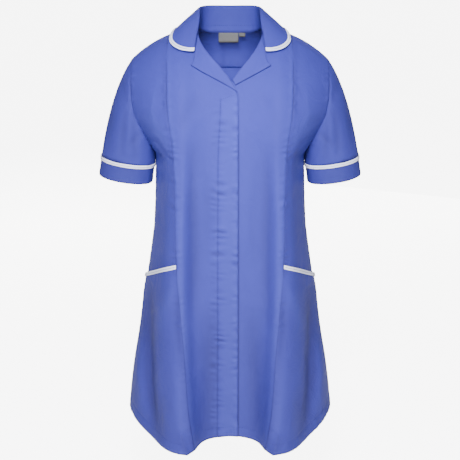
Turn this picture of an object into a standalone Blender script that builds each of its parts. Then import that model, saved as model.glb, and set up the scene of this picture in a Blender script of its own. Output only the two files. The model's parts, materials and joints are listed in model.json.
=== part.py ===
"""Short-sleeved maternity tunic, hollow and filled out as it hangs when it is worn.

Metres, +Z up. The front faces -Y and the wearer's right is at -X. The origin is midway between
the two side neck points, at the height where the shoulders carry the tunic.

The body is one surface, read as rows. A row runs round the front or the back, from the centre
line to the side seam or, above the underarm, to the armhole. Every panel is a strip of those
rows, so that neighbours share their seam points and stand a narrow gap apart.
"""
import math

import bpy
import numpy as np

# Cloth, seams and trims
CLOTH = 0.0016
SEAM_GAP = 0.0003
BRAID = 0.0012
BRAID_WIDTH = 0.0092
TURNED_CLOTH = 0.0022

# Heights of the body
HEM = -0.777
UNDERARM = -0.245
APEX = -0.200
RIDGE = 0.004

# Shoulder and armhole
TIP_Z = -0.0595
RIDGE_CURVE = 2.86
SLOPE_START = -0.160
ARMHOLE_SHARE_LIMIT = 0.90
ARMHOLE_DEPTH = 0.060
ARMHOLE_DEPTH_BACK = 0.058

# Centre front
LAP_EDGE = 0.0155
UNDERLAP = 0.020
FLY_WIDTH = 0.036
FLY_LIFT = 0.0028
FLY_RAMP = 0.026
V_STEP = 7.15
ROLL_TOP = -0.0103
NECK_X = 0.0645
BACK_NECK_STEP = 10.5
ROLL_OVERHANG = 0.0005

# Pocket
POCKET_MOUTH_INNER = -0.4437
POCKET_MOUTH_OUTER = -0.4956
BAG_DROPS = (0.282, 0.180, 0.090, 0.0)
BAG_NARROWER = 0.012
MOUTH_STEP = 0.0113
MOUTH_MATCH = (0.54, 0.659, 0.61)
POCKET_LIFT = 0.0023
POCKET_CORNER = 0.0016
POCKET_FADE = 0.110
POCKET_SEATED = 0.25
CORNER_START = 0.55
BACK_FOLLOWS = 0.86
POCKET_CLEAR = 0.0005
BAG_SLACK = 0.0012

# Sleeve
CUFF_CENTRE = (0.2088, 0.0, -0.2972)
CUFF_RADII = (0.0545, 0.0508)
CUFF_POWER = 2.15
CUFF_TILT = math.radians(8.5)
CUFF_DROP_FRONT = 0.0043
CUFF_HEIGHT = 0.0392
CUFF_BRAID_WIDTH = 0.0084
SLEEVE_STEPS = (0.0, 0.05, 0.12, 0.22, 0.35, 0.50, 0.66, 0.83, 1.0)
SLEEVE_FLARE = (0.10, 0.57, 1.4)
SLEEVE_SPREAD = 0.16
SLEEVE_LEVEL = 0.16
SLEEVE_INSIDE = (0.186, -0.182)
SLEEVE_LEAVE = 0.80
SLEEVE_ARRIVE = 0.90

# Neck facing and labels
FACING_BOTTOM = -0.0895
FACING_COLUMNS = 9
FACING_CLOTH = 0.0013
LABEL_RAISE = 0.0022
LABEL = dict(left=-0.023, right=0.017, drop=0.0198)
SIZE_TAB = dict(left=0.0182, right=0.0306, drop=0.0082)
LABEL_CLOTH = 0.0007
LABEL_LEAN = 0.2
LABEL_STAND = 0.0012
LABEL_FORWARD = 0.0018

# Front sections below the bust. x and y of the points that shape half a row, y measured forward.
FRONT_COLUMNS = ("height", "half_width", "centre_y", "valley_x", "valley_y", "crest_x", "crest_y",
                 "outer_x", "outer_y", "corner_x", "corner_y", "seam_x")
FRONT = [
    (-0.777, 0.2085, 0.134, 0.056, 0.156, 0.078, 0.203, 0.114, 0.191, 0.164, 0.118, 0.0680),
    (-0.700, 0.2000, 0.134, 0.060, 0.150, 0.083, 0.188, 0.115, 0.178, 0.158, 0.116, 0.0810),
    (-0.620, 0.1870, 0.133, 0.065, 0.144, 0.089, 0.170, 0.118, 0.160, 0.152, 0.108, 0.0880),
    (-0.540, 0.1745, 0.131, 0.069, 0.137, 0.093, 0.157, 0.120, 0.146, 0.147, 0.096, 0.0965),
    (-0.450, 0.1605, 0.127, 0.071, 0.131, 0.095, 0.147, 0.119, 0.134, 0.140, 0.087, 0.1035),
    (-0.360, 0.1492, 0.124, 0.072, 0.127, 0.095, 0.140, 0.116, 0.125, 0.133, 0.080, 0.1050),
    (-0.300, 0.1463, 0.122, 0.072, 0.128, 0.094, 0.137, 0.115, 0.120, 0.131, 0.074, 0.1060),
    (-0.245, 0.1465, 0.121, 0.072, 0.130, 0.094, 0.137, 0.115, 0.120, 0.131, 0.074, 0.1085),
    (-0.200, 0.1470, 0.120, 0.070, 0.131, 0.094, 0.137, 0.116, 0.122, 0.132, 0.075, 0.1125),
]
# How far the hem dips below its height at the side seam, across half the front and half the back
HEM_DIP_COLUMNS = ("share", "front", "back")
HEM_DIP = [
    (0.00, 0.020, 0.024),
    (0.25, 0.026, 0.026),
    (0.40, 0.035, 0.024),
    (0.58, 0.035, 0.026),
    (0.80, 0.0245, 0.020),
    (0.90, 0.0090, 0.007),
    (1.00, 0.000, 0.000),
]
DIP_STARTS = -0.560
# How the front closes over the chest: the swell beside the centre line, and between crest and armhole
CENTRE_SHARE = 0.53
CENTRE_SWELL = 0.15
VALLEY_POWER = 1.4
CREST_POWER = 1.12
FLATTEN_POWER = 0.7
# Share of the way from the crest to the armhole, and of the depth between them low and high up
ARM_CURVE = [(0.40, 0.88, 0.74), (0.72, 0.54, 0.40)]
# Back sections: depth behind the side seams and how square the curve is
BACK_COLUMNS = ("height", "depth", "power")
BACK = [
    (-0.777, 0.158, 2.05),
    (-0.620, 0.132, 2.10),
    (-0.500, 0.108, 2.20),
    (-0.400, 0.094, 2.30),
    (-0.270, 0.101, 2.35),
    (-0.150, 0.106, 2.40),
]
BACK_APEX = -0.150
# Folds raised or sunk in both halves: x and height of their ends, half width and depth outward
FOLD_GROWS = 0.45
FOLD_COLUMNS = ("face", "top_x", "top_z", "bottom_x", "bottom_z", "width", "depth")
FOLDS = [
    ("front", 0.163, -0.520, 0.160, -0.860, 0.0100, -0.0070),
    ("front", 0.186, -0.600, 0.188, -0.860, 0.0100, 0.0030),
    ("front", 0.135, -0.690, 0.134, -0.860, 0.0090, -0.0035),
    ("back", 0.000, -0.400, 0.000, -0.860, 0.0300, -0.0140),
    ("back", 0.062, -0.450, 0.074, -0.860, 0.0280, 0.0140),
    ("back", 0.108, -0.480, 0.128, -0.860, 0.0200, -0.0110),
    ("back", 0.140, -0.560, 0.166, -0.860, 0.0180, 0.0070),
]
# Where the front princess seam and the armhole run above the underarm
SEAM_COLUMNS = ("height", "x")
SEAM = [(-0.245, 0.1085), (-0.203, 0.1120), (-0.161, 0.1188), (-0.100, 0.1215), (0.004, 0.1215)]
ARMHOLE_COLUMNS = ("angle", "x")
ARMHOLE = [(0, 0.1465), (22, 0.1515), (47, 0.1620), (69, 0.1775), (85, 0.1890), (105, 0.1930),
           (140, 0.1938), (180, 0.1926)]
# Where the fronts end at the roll line, measured from the centre towards their own side
ROLL_COLUMNS = ("height", "right_x", "left_x")
ROLL = [(-0.1165, -0.0155, -0.0120), (-0.0927, -0.0009, 0.0041), (ROLL_TOP, 0.0625, 0.0625),
        (0.004, NECK_X, NECK_X)]
BACK_NECK_COLUMNS = ("height", "x")
BACK_NECK_CURVE = [(-0.0117, 0.0), (-0.0097, 0.0420), (-0.0061, 0.0555), (-0.0006, 0.0610),
                   (0.004, NECK_X)]

# Collar edge on the body: the face that it lies on, x and height
COLLAR_EDGE = [
    ("front", 0.0685, -0.0415),
    ("front", 0.0840, -0.0415),
    ("front", 0.0980, -0.0385),
    ("front", 0.1100, -0.0330),
    ("front", 0.1168, -0.0250),
    ("front", 0.1154, -0.0165),
    ("front", 0.1120, -0.0100),
    ("back", 0.1060, -0.0105),
    ("back", 0.0950, -0.0150),
    ("back", 0.0730, -0.0240),
    ("back", 0.0400, -0.0330),
    ("back", 0.0000, -0.0370),
]
# Where the collar folds over: x, y and z
COLLAR_FOLD = [
    (0.0630, -0.0425, -0.0040),
    (0.0618, -0.0310, 0.0090),
    (0.0608, -0.0130, 0.0250),
    (0.0602, 0.0130, 0.0355),
    (0.0520, 0.0390, 0.0378),
    (0.0280, 0.0530, 0.0375),
    (0.0000, 0.0575, 0.0368),
]
STAND_SEAT = (-0.0012, 0.0, 0.0007)
STAND_SEAT_BACK = (0.0, -0.0012, 0.0007)
COLLAR_CLOTH = 0.0018
COLLAR_FOLD_RADII = (0.0022, 0.0026)
COLLAR_FOLD_OPENS = 0.3
STAND_SHARES = (0.0, 0.5, 0.9)
FALL_SHARES = (0.08, 0.36, 0.64)
FALL_SWELL = 0.02
COLLAR_STEPS = 22
COLLAR_CLEAR = 0.0030

# Lapels: the gorge from the roll line to the point, and the free edge from there to the lower end.
# Share of the way, x towards the lapel's own side, and height.
LAPEL_GORGE = [(0.50, 0.0675, -0.0405), (0.78, 0.0700, -0.0570)]
LAPEL_RIGHT = [(0.0, 0.0756, -0.0647), (0.4, 0.0420, -0.0830), (0.8, 0.0050, -0.1025),
               (1.0, -0.0110, -0.1120)]
LAPEL_LEFT = [(0.0, 0.0795, -0.0647), (0.5, 0.0470, -0.0820), (0.85, 0.0205, -0.0955),
              (1.0, 0.0100, -0.1010)]
LAPEL_ENDS = (-0.1139, -0.0915)
LAPEL_ACROSS = (0.0, 0.25, 0.50, 0.78, 1.0)
LAPEL_STEPS = 11
LAPEL_CLOTH = 0.0020
LAPEL_CLEAR = 0.0009

BLUE = (0.163, 0.217, 0.600)
WHITE = (0.80, 0.81, 0.84)
GREY = (0.30, 0.31, 0.33)

# Rows of the body: 0 is the hem, 1 the underarm, 2 the shoulder ridge
LOWER_ROWS = [0.0, 0.05, 0.12, 0.19, 0.26, 0.33, 0.40, 0.47, 0.54, 0.61, 0.68, 0.76, 0.84, 0.92, 1.0]
UPPER_STEPS = [2, 3, 4, 5, 6, V_STEP, 7.6, 8, 9, 10, BACK_NECK_STEP, 10.6, 10.8, 11.2, 12]
ROWS = LOWER_ROWS + [1 + k / 12 for k in UPPER_STEPS]
V_ROW = 1 + V_STEP / 12
BACK_NECK_ROW = 1 + BACK_NECK_STEP / 12
FRONT_SHARES = (0.0, 0.07, 0.14, 0.23, 0.33, 0.43, 0.53, 0.63, 0.73, 0.82, 0.91, 1.0)
SIDE_COLUMNS = 12
BACK_COLUMNS_HALF = 14


def clear_scene():
    for thing in list(bpy.data.objects):
        bpy.data.objects.remove(thing, do_unlink=True)


def material(name, colour, roughness):
    made = bpy.data.materials.new(name)
    made.use_nodes = True
    shader = made.node_tree.nodes["Principled BSDF"]
    shader.inputs["Base Color"].default_value = (*colour, 1.0)
    shader.inputs["Roughness"].default_value = roughness
    shader.inputs["Metallic"].default_value = 0.0
    return made


def blend(xs, ys, x):
    """Smooth curve through a short table, with no overshoot between its rows."""
    xs = np.asarray(xs, float)
    ys = np.asarray(ys, float)
    x = min(max(x, xs[0]), xs[-1])
    step = np.diff(xs)
    slope = np.diff(ys) / step
    tangent = np.empty(len(xs))
    tangent[0] = slope[0]
    tangent[-1] = slope[-1]
    for i in range(1, len(xs) - 1):
        turns = slope[i - 1] * slope[i] <= 0
        tangent[i] = 0.0 if turns else 2 / (1 / slope[i - 1] + 1 / slope[i])
    i = min(int(np.searchsorted(xs, x, side="right")) - 1, len(xs) - 2)
    t = (x - xs[i]) / step[i]
    rise = t * t * (3 - 2 * t)
    leave = t * (1 - t) ** 2 * tangent[i]
    arrive = t * t * (t - 1) * tangent[i + 1]
    return ys[i] + (ys[i + 1] - ys[i]) * rise + step[i] * (leave + arrive)


def column(table, names, name, at):
    """Reads one column of a table at a value of its first column."""
    k = names.index(name)
    return blend([row[0] for row in table], [row[k] for row in table], at)


def smoothstep(a, b, x):
    t = min(max((x - a) / (b - a), 0.0), 1.0)
    return t * t * (3 - 2 * t)


def unit(v):
    return v / np.linalg.norm(v)


def spline(points, before, after, steps):
    """Smooth line through points; before and after set how it leaves its two ends."""
    pts = np.array([before] + list(points) + [after], float)
    knots = np.concatenate([[0], np.cumsum(np.linalg.norm(np.diff(pts, axis=0), axis=1) ** 0.5)])
    out = []
    for i in range(1, len(pts) - 2):
        span = knots[i + 1] - knots[i]
        leave = (pts[i + 1] - pts[i - 1]) / (knots[i + 1] - knots[i - 1]) * span
        arrive = (pts[i + 2] - pts[i]) / (knots[i + 2] - knots[i]) * span
        for t in np.arange(steps) / steps:
            rise = t * t * (3 - 2 * t)
            ends = pts[i] * (1 - rise) + pts[i + 1] * rise
            out.append(ends + leave * t * (1 - t) ** 2 + arrive * t * t * (t - 1))
    out.append(pts[-2])
    return np.array(out)


def resample(line, shares):
    """Points of a line at shares of its length."""
    length = np.concatenate([[0], np.cumsum(np.linalg.norm(np.diff(line, axis=0), axis=1))])
    length /= length[-1]
    return np.stack([np.interp(shares, length, line[:, k]) for k in range(line.shape[1])], axis=1)


def armhole(row, face):
    """Point of the armhole at a row above the underarm, on the wearer's left."""
    angle = (row - 1) * math.pi
    depth = ARMHOLE_DEPTH if face == "front" else ARMHOLE_DEPTH_BACK
    x = column(ARMHOLE, ARMHOLE_COLUMNS, "x", math.degrees(angle))
    middle = (UNDERARM + TIP_Z) / 2
    z = middle + (UNDERARM - TIP_Z) / 2 * math.cos(angle)
    y = depth * math.sin(angle)
    return np.array([x, -y if face == "front" else y, z])


def centre_height(row):
    """Height of a row at the centre line."""
    if row <= 1:
        return HEM + (UNDERARM - HEM) * row
    z = armhole(row, "front")[2]
    rise = max((z - SLOPE_START) / (TIP_Z - SLOPE_START), 0.0)
    return z + (RIDGE - TIP_Z) * rise ** 2


def round_off(height, apex):
    """How a section shrinks from its fullest height up to the shoulder ridge."""
    s = min(max((height - apex) / (RIDGE - apex), 0.0), 1.0)
    return math.sqrt(1 - s * s)


def front_line(row):
    """Half a front row in plan: x and forward y."""
    height = centre_height(row)
    read = min(height, APEX)
    value = {name: column(FRONT, FRONT_COLUMNS, name, read) for name in FRONT_COLUMNS[1:]}
    fall = round_off(height, APEX)
    centre = value["centre_y"] * fall
    valley = value["valley_y"] * (fall + fall ** VALLEY_POWER) / 2
    crest = value["crest_y"] * fall ** CREST_POWER
    points = [(0, centre), (value["valley_x"] * CENTRE_SHARE, centre + CENTRE_SWELL * (valley - centre)),
              (value["valley_x"], valley), (value["crest_x"], crest)]
    if row <= 1:
        end = (value["half_width"], 0.0)
        points += [(value["outer_x"], value["outer_y"]), (value["corner_x"], value["corner_y"]), end]
        after = (value["corner_x"], -value["corner_y"])
    else:
        arm = armhole(row, "front")
        end = (arm[0], -arm[1])
        flat = math.sin((row - 1) * math.pi / 2) ** FLATTEN_POWER
        for share, low, high in ARM_CURVE:
            x = value["crest_x"] + (end[0] - value["crest_x"]) * share
            y = end[1] + (crest - end[1]) * (low + (high - low) * flat)
            points.append((x, y))
        points.append(end)
        after = (2 * end[0] - points[-2][0], 2 * end[1] - points[-2][1])
    before = (-points[1][0], points[1][1])
    return spline(points, before, after, 12)


def back_line(row):
    """Half a back row in plan: x and backward y."""
    height = centre_height(row)
    read = min(height, BACK_APEX)
    depth = column(BACK, BACK_COLUMNS, "depth", read) * round_off(height, BACK_APEX)
    power = column(BACK, BACK_COLUMNS, "power", read)
    if row <= 1:
        wide = column(FRONT, FRONT_COLUMNS, "half_width", height)
        last = math.pi / 2
    else:
        arm = armhole(row, "back")
        share = min(arm[1] / max(depth, 1e-6), ARMHOLE_SHARE_LIMIT)
        wide = arm[0] / (1 - share ** power) ** (1 / power)
        last = math.asin(min((arm[0] / wide) ** (power / 2), 1.0))
    angles = np.linspace(0, last, 90)
    x = wide * np.sin(angles) ** (2 / power)
    y = depth * np.maximum(np.cos(angles), 0.0) ** (2 / power)
    if row > 1:
        y = y * np.linspace(1, arm[1] / max(y[-1], 1e-9), 90) if y[-1] > 1e-9 else y
    return np.stack([x, y], axis=1)


def add_folds(line, heights, face):
    """Raises or sinks the folds across a row, square to it in plan."""
    moved = line.copy()
    run = np.gradient(line, axis=0)
    square = np.stack([-run[:, 1], run[:, 0]], axis=1)
    square /= np.maximum(np.linalg.norm(square, axis=1)[:, None], 1e-9)
    for entry in FOLDS:
        fold = dict(zip(FOLD_COLUMNS, entry))
        if fold["face"] != face:
            continue
        fall = (fold["top_z"] - heights) / (fold["top_z"] - fold["bottom_z"])
        along = np.clip(fall / FOLD_GROWS, 0, 1)
        strength = along * along * (3 - 2 * along)
        middle = fold["top_x"] + (fold["bottom_x"] - fold["top_x"]) * fall
        bump = np.exp(-((line[:, 0] - middle) / fold["width"]) ** 2)
        moved += square * (fold["depth"] * strength * bump)[:, None]
    moved[0, 0] = 0.0
    moved[-1, 1] = line[-1, 1]
    return moved


HALF_ROWS = {}


def half_row(face, row):
    """Points of half a row on the wearer's left, and the share of its length at each."""
    key = (face, round(row, 6))
    if key in HALF_ROWS:
        return HALF_ROWS[key]
    line = front_line(row) if face == "front" else back_line(row)
    share = line[:, 0] / line[-1, 0]
    if row <= 1:
        height = centre_height(row)
        weight = 1 - smoothstep(HEM, DIP_STARTS, height)
        dip = np.array([column(HEM_DIP, HEM_DIP_COLUMNS, face, s) for s in share])
        z = height - weight * dip
        line = add_folds(line, z, face)
    else:
        top = centre_height(row)
        z = top + (armhole(row, face)[2] - top) * share ** RIDGE_CURVE
    way = -1 if face == "front" else 1
    points = np.stack([line[:, 0], way * line[:, 1], z], axis=1)
    length = np.concatenate([[0], np.cumsum(np.linalg.norm(np.diff(points, axis=0), axis=1))])
    HALF_ROWS[key] = (points, length / length[-1])
    return HALF_ROWS[key]


def share_at_x(face, row, x):
    """Share of a row's half length at x; negative on the wearer's right."""
    points, length = half_row(face, row)
    return math.copysign(float(np.interp(abs(x), points[:, 0], length)), x)


def body(face, row, share):
    """Point of the body surface."""
    points, length = half_row(face, row)
    p = np.array([np.interp(abs(share), length, points[:, k]) for k in range(3)])
    if share < 0:
        p[0] = -p[0]
    return p


def body_normal(face, row, share):
    """Outward normal of the body surface, square to the side seams and the shoulder ridge."""
    step = 0.004
    along = body(face, row, min(share + step, 1)) - body(face, row, max(share - step, -1))
    up = body(face, min(row + step, 2), share) - body(face, max(row - step, 0), share)
    n = unit(np.cross(along, up))
    if face == "back":
        n = -n
    on_side = abs(share) > 0.9999 and row <= 1
    if on_side or row > 1.9999:
        n[1] = 0.0
        n = unit(n)
    return n


def sleeve_start(row, face, side):
    """Direction in which the sleeve leaves the armhole."""
    angle = (row - 1) * math.pi
    lift = (1 - math.cos(angle)) / 2
    forward = -1 if face == "front" else 1
    low, more, power = SLEEVE_FLARE
    return unit(np.array([side * (low + more * lift ** power), forward * SLEEVE_SPREAD * math.sin(angle),
                          -1 + SLEEVE_LEVEL * lift ** 2]))


def armhole_normal(row, face, side):
    """Normal shared by the body and the sleeve along the armhole seam."""
    here = body_normal(face, row, side)
    step = 0.01
    low = armhole(max(row - step, 1), face)
    high = armhole(min(row + step, 2), face)
    run = high - low
    run[0] *= side
    if np.linalg.norm(run) < 1e-6 or row < 1.0001:
        run = np.array([0, -1.0 if face == "front" else 1.0, 0])
    across = sleeve_start(row, face, side)
    turned = np.cross(across, run)
    inside = np.array([side * SLEEVE_INSIDE[0], 0.0, SLEEVE_INSIDE[1]])
    if turned @ (armhole(row, face) * (side, 1, 1) - inside) < 0:
        turned = -turned
    n = here + unit(turned)
    if row > 1.9999 or row < 1.0001:
        n[1] = 0.0
    return unit(n)


class Panel:
    """A strip of the body between two lines that run up it. u is 0 at first and 1 at last."""

    def __init__(self, face, first, last, lift=None, cloth=None):
        self.face = face
        self.first = first
        self.last = last
        self.lift = lift or (lambda point, row, u: 0.0)
        self.cloth = cloth or (lambda point, row, u: CLOTH)
        self.known = {}

    def on_row(self, row, u):
        key = (round(row, 6), round(u, 6))
        if key not in self.known:
            a = self.first(row)
            b = self.last(row)
            share = a + (b - a) * u
            p = body(self.face, row, share)
            at_armhole = abs(share) > 0.9999 and row >= 1
            side = 1 if share > 0 else -1
            n = armhole_normal(row, self.face, side) if at_armhole else body_normal(self.face, row, share)
            self.known[key] = (p, n)
        return self.known[key]

    def at(self, row, u):
        """Point and normal. Between two rows they lie on the straight line that joins them."""
        above = next(i for i, value in enumerate(ROWS) if value >= row - 1e-9)
        if abs(ROWS[above] - row) < 1e-9:
            return self.on_row(ROWS[above], u)
        low, high = ROWS[above - 1], ROWS[above]
        t = (row - low) / (high - low)
        p, n = self.on_row(low, u)
        q, m = self.on_row(high, u)
        return p + (q - p) * t, unit(n + (m - n) * t)

    def walls(self, row, u, out=0.0, cloth=None):
        """Outer and inner point of the panel's cloth."""
        p, n = self.at(row, u)
        outer = p + n * (self.lift(p, row, u) + out)
        return outer, outer - n * (cloth if cloth else self.cloth(p, row, u))


def shell(name, cells, walls, finish):
    """One closed piece of cloth from four-cornered cells and the two walls of each corner."""
    corners = sorted({key for cell in cells for key in cell})
    number = {key: i for i, key in enumerate(corners)}
    outer = np.array([walls[key][0] for key in corners])
    inner = np.array([walls[key][1] for key in corners])
    count = len(corners)
    facing = 0.0
    triangles = []
    edges = {}
    for cell in cells:
        a, b, c, d = (number[key] for key in cell)
        across = np.cross(outer[c] - outer[a], outer[d] - outer[b])
        facing += across @ (outer[a] - inner[a] + outer[c] - inner[c])
        short = np.linalg.norm(outer[a] - outer[c]) <= np.linalg.norm(outer[b] - outer[d])
        triangles += [(a, b, c), (a, c, d)] if short else [(a, b, d), (b, c, d)]
        for pair in ((a, b), (b, c), (c, d), (d, a)):
            edges[pair] = edges.get(pair, 0) + 1
    faces = []
    for a, b, c in triangles:
        faces += [(a, b, c), (a + count, c + count, b + count)]
    for a, b in edges:
        if (b, a) not in edges:
            faces += [(b, a, a + count), (b, a + count, b + count)]
    if facing < 0:
        faces = [face[::-1] for face in faces]
    mesh = bpy.data.meshes.new(name)
    mesh.from_pydata(np.vstack([outer, inner]).tolist(), [], faces)
    mesh.materials.append(finish)
    mesh.shade_smooth()
    mesh.set_sharp_from_angle(angle=math.radians(40))
    made = bpy.data.objects.new(name, mesh)
    bpy.context.collection.objects.link(made)
    return made


def pull_in(walls, edge, inward, amount=SEAM_GAP / 2):
    """Moves an edge of a piece back from its seam, towards the next points in."""
    for key, near in zip(edge, inward):
        way = unit(walls[near][0] - walls[key][0]) * amount
        walls[key] = (walls[key][0] + way, walls[key][1] + way)


def grid_cells(rows, columns, closed=False):
    """Cells of a grid of corner keys (row, column)."""
    last = columns if closed else columns - 1
    return [((i, j), (i, (j + 1) % columns), (i + 1, (j + 1) % columns), (i + 1, j))
            for i in range(rows - 1) for j in range(last)]


def grid_walls(rows, columns, walls_at):
    return {(i, j): walls_at(i, j) for i in range(rows) for j in range(columns)}


def pull_in_sides(walls, rows, columns, sides):
    """Pulls in the named sides of a grid: bottom, top, first and last."""
    pulls = {
        "first": ([(i, 0) for i in range(rows)], [(i, 1) for i in range(rows)]),
        "last": ([(i, columns - 1) for i in range(rows)], [(i, columns - 2) for i in range(rows)]),
        "bottom": ([(0, j) for j in range(columns)], [(1, j) for j in range(columns)]),
        "top": ([(rows - 1, j) for j in range(columns)], [(rows - 2, j) for j in range(columns)]),
    }
    for side in sides:
        pull_in(walls, *pulls[side])


def seam_share(row):
    """Share of a front row at the princess seam."""
    height = centre_height(row)
    table, names = (FRONT, FRONT_COLUMNS) if row <= 1 else (SEAM, SEAM_COLUMNS)
    return share_at_x("front", row, column(table, names, "seam_x" if row <= 1 else "x", height))


def roll_x(side, height):
    """How far the roll line stands from the centre, on the side that it belongs to."""
    name = "right_x" if side < 0 else "left_x"
    return column(ROLL, ROLL_COLUMNS, name, height)


def front_start(row, side):
    """Share of a row where a centre front panel starts: its front edge or its roll line."""
    if row <= V_ROW:
        return share_at_x("front", row, LAP_EDGE if side < 0 else -UNDERLAP)
    return share_at_x("front", row, side * roll_x(side, centre_height(row)))


def fly_weight(p, row):
    """1 in the fly of the wearer's right front and 0 away from it."""
    start = LAP_EDGE - FLY_WIDTH
    return smoothstep(start - FLY_RAMP, start, p[0]) * (1 - smoothstep(1.68, 1.82, row))


def centre_front(side):
    """The panel between a front edge and the princess seam."""
    if side < 0:
        lift = lambda p, row, u: FLY_LIFT * fly_weight(p, row)
        cloth = lambda p, row, u: CLOTH + (TURNED_CLOTH - CLOTH) * (fly_weight(p, row) > 0.99)
    else:
        lift = None
        cloth = None
    return Panel("front", lambda row: front_start(row, side), lambda row: side * seam_share(row), lift, cloth)


def make_front(side, finish):
    name = "front_right" if side < 0 else "front_left"
    panel = centre_front(side)
    rows, columns = len(ROWS), len(FRONT_SHARES)
    walls = grid_walls(rows, columns, lambda i, j: panel.walls(ROWS[i], FRONT_SHARES[j]))
    pull_in_sides(walls, rows, columns, ("last", "top"))
    return shell(name, grid_cells(rows, columns), walls, finish)


def mouth_row(u):
    """Row of the slanted pocket mouth at a share of the side panel's width."""
    height = POCKET_MOUTH_INNER + (POCKET_MOUTH_OUTER - POCKET_MOUTH_INNER) * u
    return (height - HEM) / (UNDERARM - HEM)


def pocket_lift(row, u):
    """How far the pocket stands off the body below its mouth."""
    below = (mouth_row(u) - row) * (UNDERARM - HEM)
    fade = 1 - smoothstep(0.0, POCKET_FADE, below)
    corner = POCKET_CORNER * smoothstep(CORNER_START, 1.0, u)
    return fade * (POCKET_LIFT * smoothstep(0.0, POCKET_SEATED, u) + corner)


def side_panel(side, lift=None):
    return Panel("front", lambda row: side * seam_share(row), lambda row: side * 1.0, lift)


def row_lines(lines, i, u):
    """Row at u on line i of a table that names each line's row at the two sides of the panel."""
    at_first, at_last = lines[i]
    return at_first + (at_last - at_first) * u


def side_front_lines():
    """Rows of the outer front at its two sides: the part behind the pocket, then up to the top."""
    inner, outer = mouth_row(0.0), mouth_row(1.0)
    lines = [(inner - drop, outer - drop) for drop in BAG_DROPS]
    lines += [(inner + MOUTH_STEP, MOUTH_MATCH[0]), MOUTH_MATCH[1:]]
    lines += [(row, row) for row in LOWER_ROWS if row > MOUTH_MATCH[1]]
    return lines + [(1 + step / 12, 1 + step / 12) for step in UPPER_STEPS]


def make_side_front(side, finish):
    """Outer front panel; its lower end hangs behind the pocket mouth as the pocket's back."""
    name = "side_front_right" if side < 0 else "side_front_left"
    lines = side_front_lines()

    def sunk(p, row, u):
        below = mouth_row(u) - row
        if below < -MOUTH_STEP / 2:
            return 0.0
        lift = pocket_lift(min(row, mouth_row(u)), u)
        return min(lift - CLOTH - POCKET_CLEAR, 0.0) - BAG_SLACK * smoothstep(0.0, BAG_DROPS[2], below)

    panel = side_panel(side, sunk)

    def walls_at(i, j):
        u = j / (SIDE_COLUMNS - 1)
        narrower = BAG_NARROWER if i < len(BAG_DROPS) else 0.0
        return panel.walls(row_lines(lines, i, u), u + (0.5 - u) * narrower)

    rows = len(lines)
    walls = grid_walls(rows, SIDE_COLUMNS, walls_at)
    pull_in_sides(walls, rows, SIDE_COLUMNS, ("first", "last", "top"))
    return shell(name, grid_cells(rows, SIDE_COLUMNS), walls, finish)


def pocket_lines():
    """Rows of the lower outer front at its two sides, the last two lines a braid's width apart."""
    inner, outer = mouth_row(0.0), mouth_row(1.0)
    braid = BRAID_WIDTH / (UNDERARM - HEM)
    lines = [(row, row) for row in LOWER_ROWS if row < outer - 3 * braid]
    lines.append((MOUTH_MATCH[0], (lines[-1][1] + outer - 2 * braid) / 2))
    return lines + [(inner - k * braid, outer - k * braid) for k in (2, 1, 0)]


def make_pocket(side, finish, trim):
    """Lower outer front: pocket mouth with its braid, down to the hem."""
    end = "right" if side < 0 else "left"
    panel = side_panel(side, lambda p, row, u: pocket_lift(row, u))
    lines = pocket_lines()
    rows = len(lines)

    def walls_at(i, j):
        u = j / (SIDE_COLUMNS - 1)
        return panel.walls(row_lines(lines, i, u), u)

    walls = grid_walls(rows, SIDE_COLUMNS, walls_at)
    pull_in_sides(walls, rows, SIDE_COLUMNS, ("first", "last"))
    shell("pocket_front_" + end, grid_cells(rows, SIDE_COLUMNS), walls, finish)
    columns = range(SIDE_COLUMNS)
    strip_on(walls, [(rows - 2, j) for j in columns], [(rows - 1, j) for j in columns],
             "pocket_braid_" + end, trim)


def strip_on(walls, lower, upper, name, finish, closed=False):
    """A braid laid on the outer points of a piece, between two of its lines of points."""
    braid = {}
    for i, line in enumerate((lower, upper)):
        for j, key in enumerate(line):
            outer, inner = walls[key]
            n = unit(outer - inner)
            braid[(i, j)] = (outer + n * (SEAM_GAP + BRAID), outer + n * SEAM_GAP)
    return shell(name, grid_cells(2, len(lower), closed), braid, finish)


def back_start(row):
    """Share of a back row where the neck opening ends."""
    if row <= BACK_NECK_ROW:
        return 0.0
    x = column(BACK_NECK_CURVE, BACK_NECK_COLUMNS, "x", centre_height(row))
    return share_at_x("back", row, x)


def back_panel(side, lift=None):
    return Panel("back", lambda row: side * back_start(row), lambda row: side * 1.0, lift)


def back_edge_lift(p, row, u):
    """The back follows the pocket's proud corner where the side seam joins them."""
    return pocket_lift(row, 1.0) * (row < mouth_row(1.0)) * smoothstep(BACK_FOLLOWS, 1.0, u)


def make_back(finish):
    """The back, one piece, its neckline open between the two shoulders."""
    cells = []
    walls = {}
    last = BACK_COLUMNS_HALF
    for side in (-1, 1):
        panel = back_panel(side, back_edge_lift)

        def key(i, j):
            centred = j == 0 and back_start(ROWS[i]) == 0.0
            return (i, 0, 0) if centred else (i, j, side)

        for i, row in enumerate(ROWS):
            for j in range(last + 1):
                walls[key(i, j)] = panel.walls(row, j / last)
        for i in range(len(ROWS) - 1):
            for j in range(last):
                cell = (key(i, j), key(i, j + 1), key(i + 1, j + 1), key(i + 1, j))
                cells.append(cell if side > 0 else cell[::-1])
        every = range(len(ROWS))
        pull_in(walls, [key(i, last) for i in every], [key(i, last - 1) for i in every])
        top = len(ROWS) - 1
        pull_in(walls, [key(top, j) for j in range(last + 1)], [key(top - 1, j) for j in range(last + 1)])
    return shell("back", cells, walls, finish)


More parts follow.
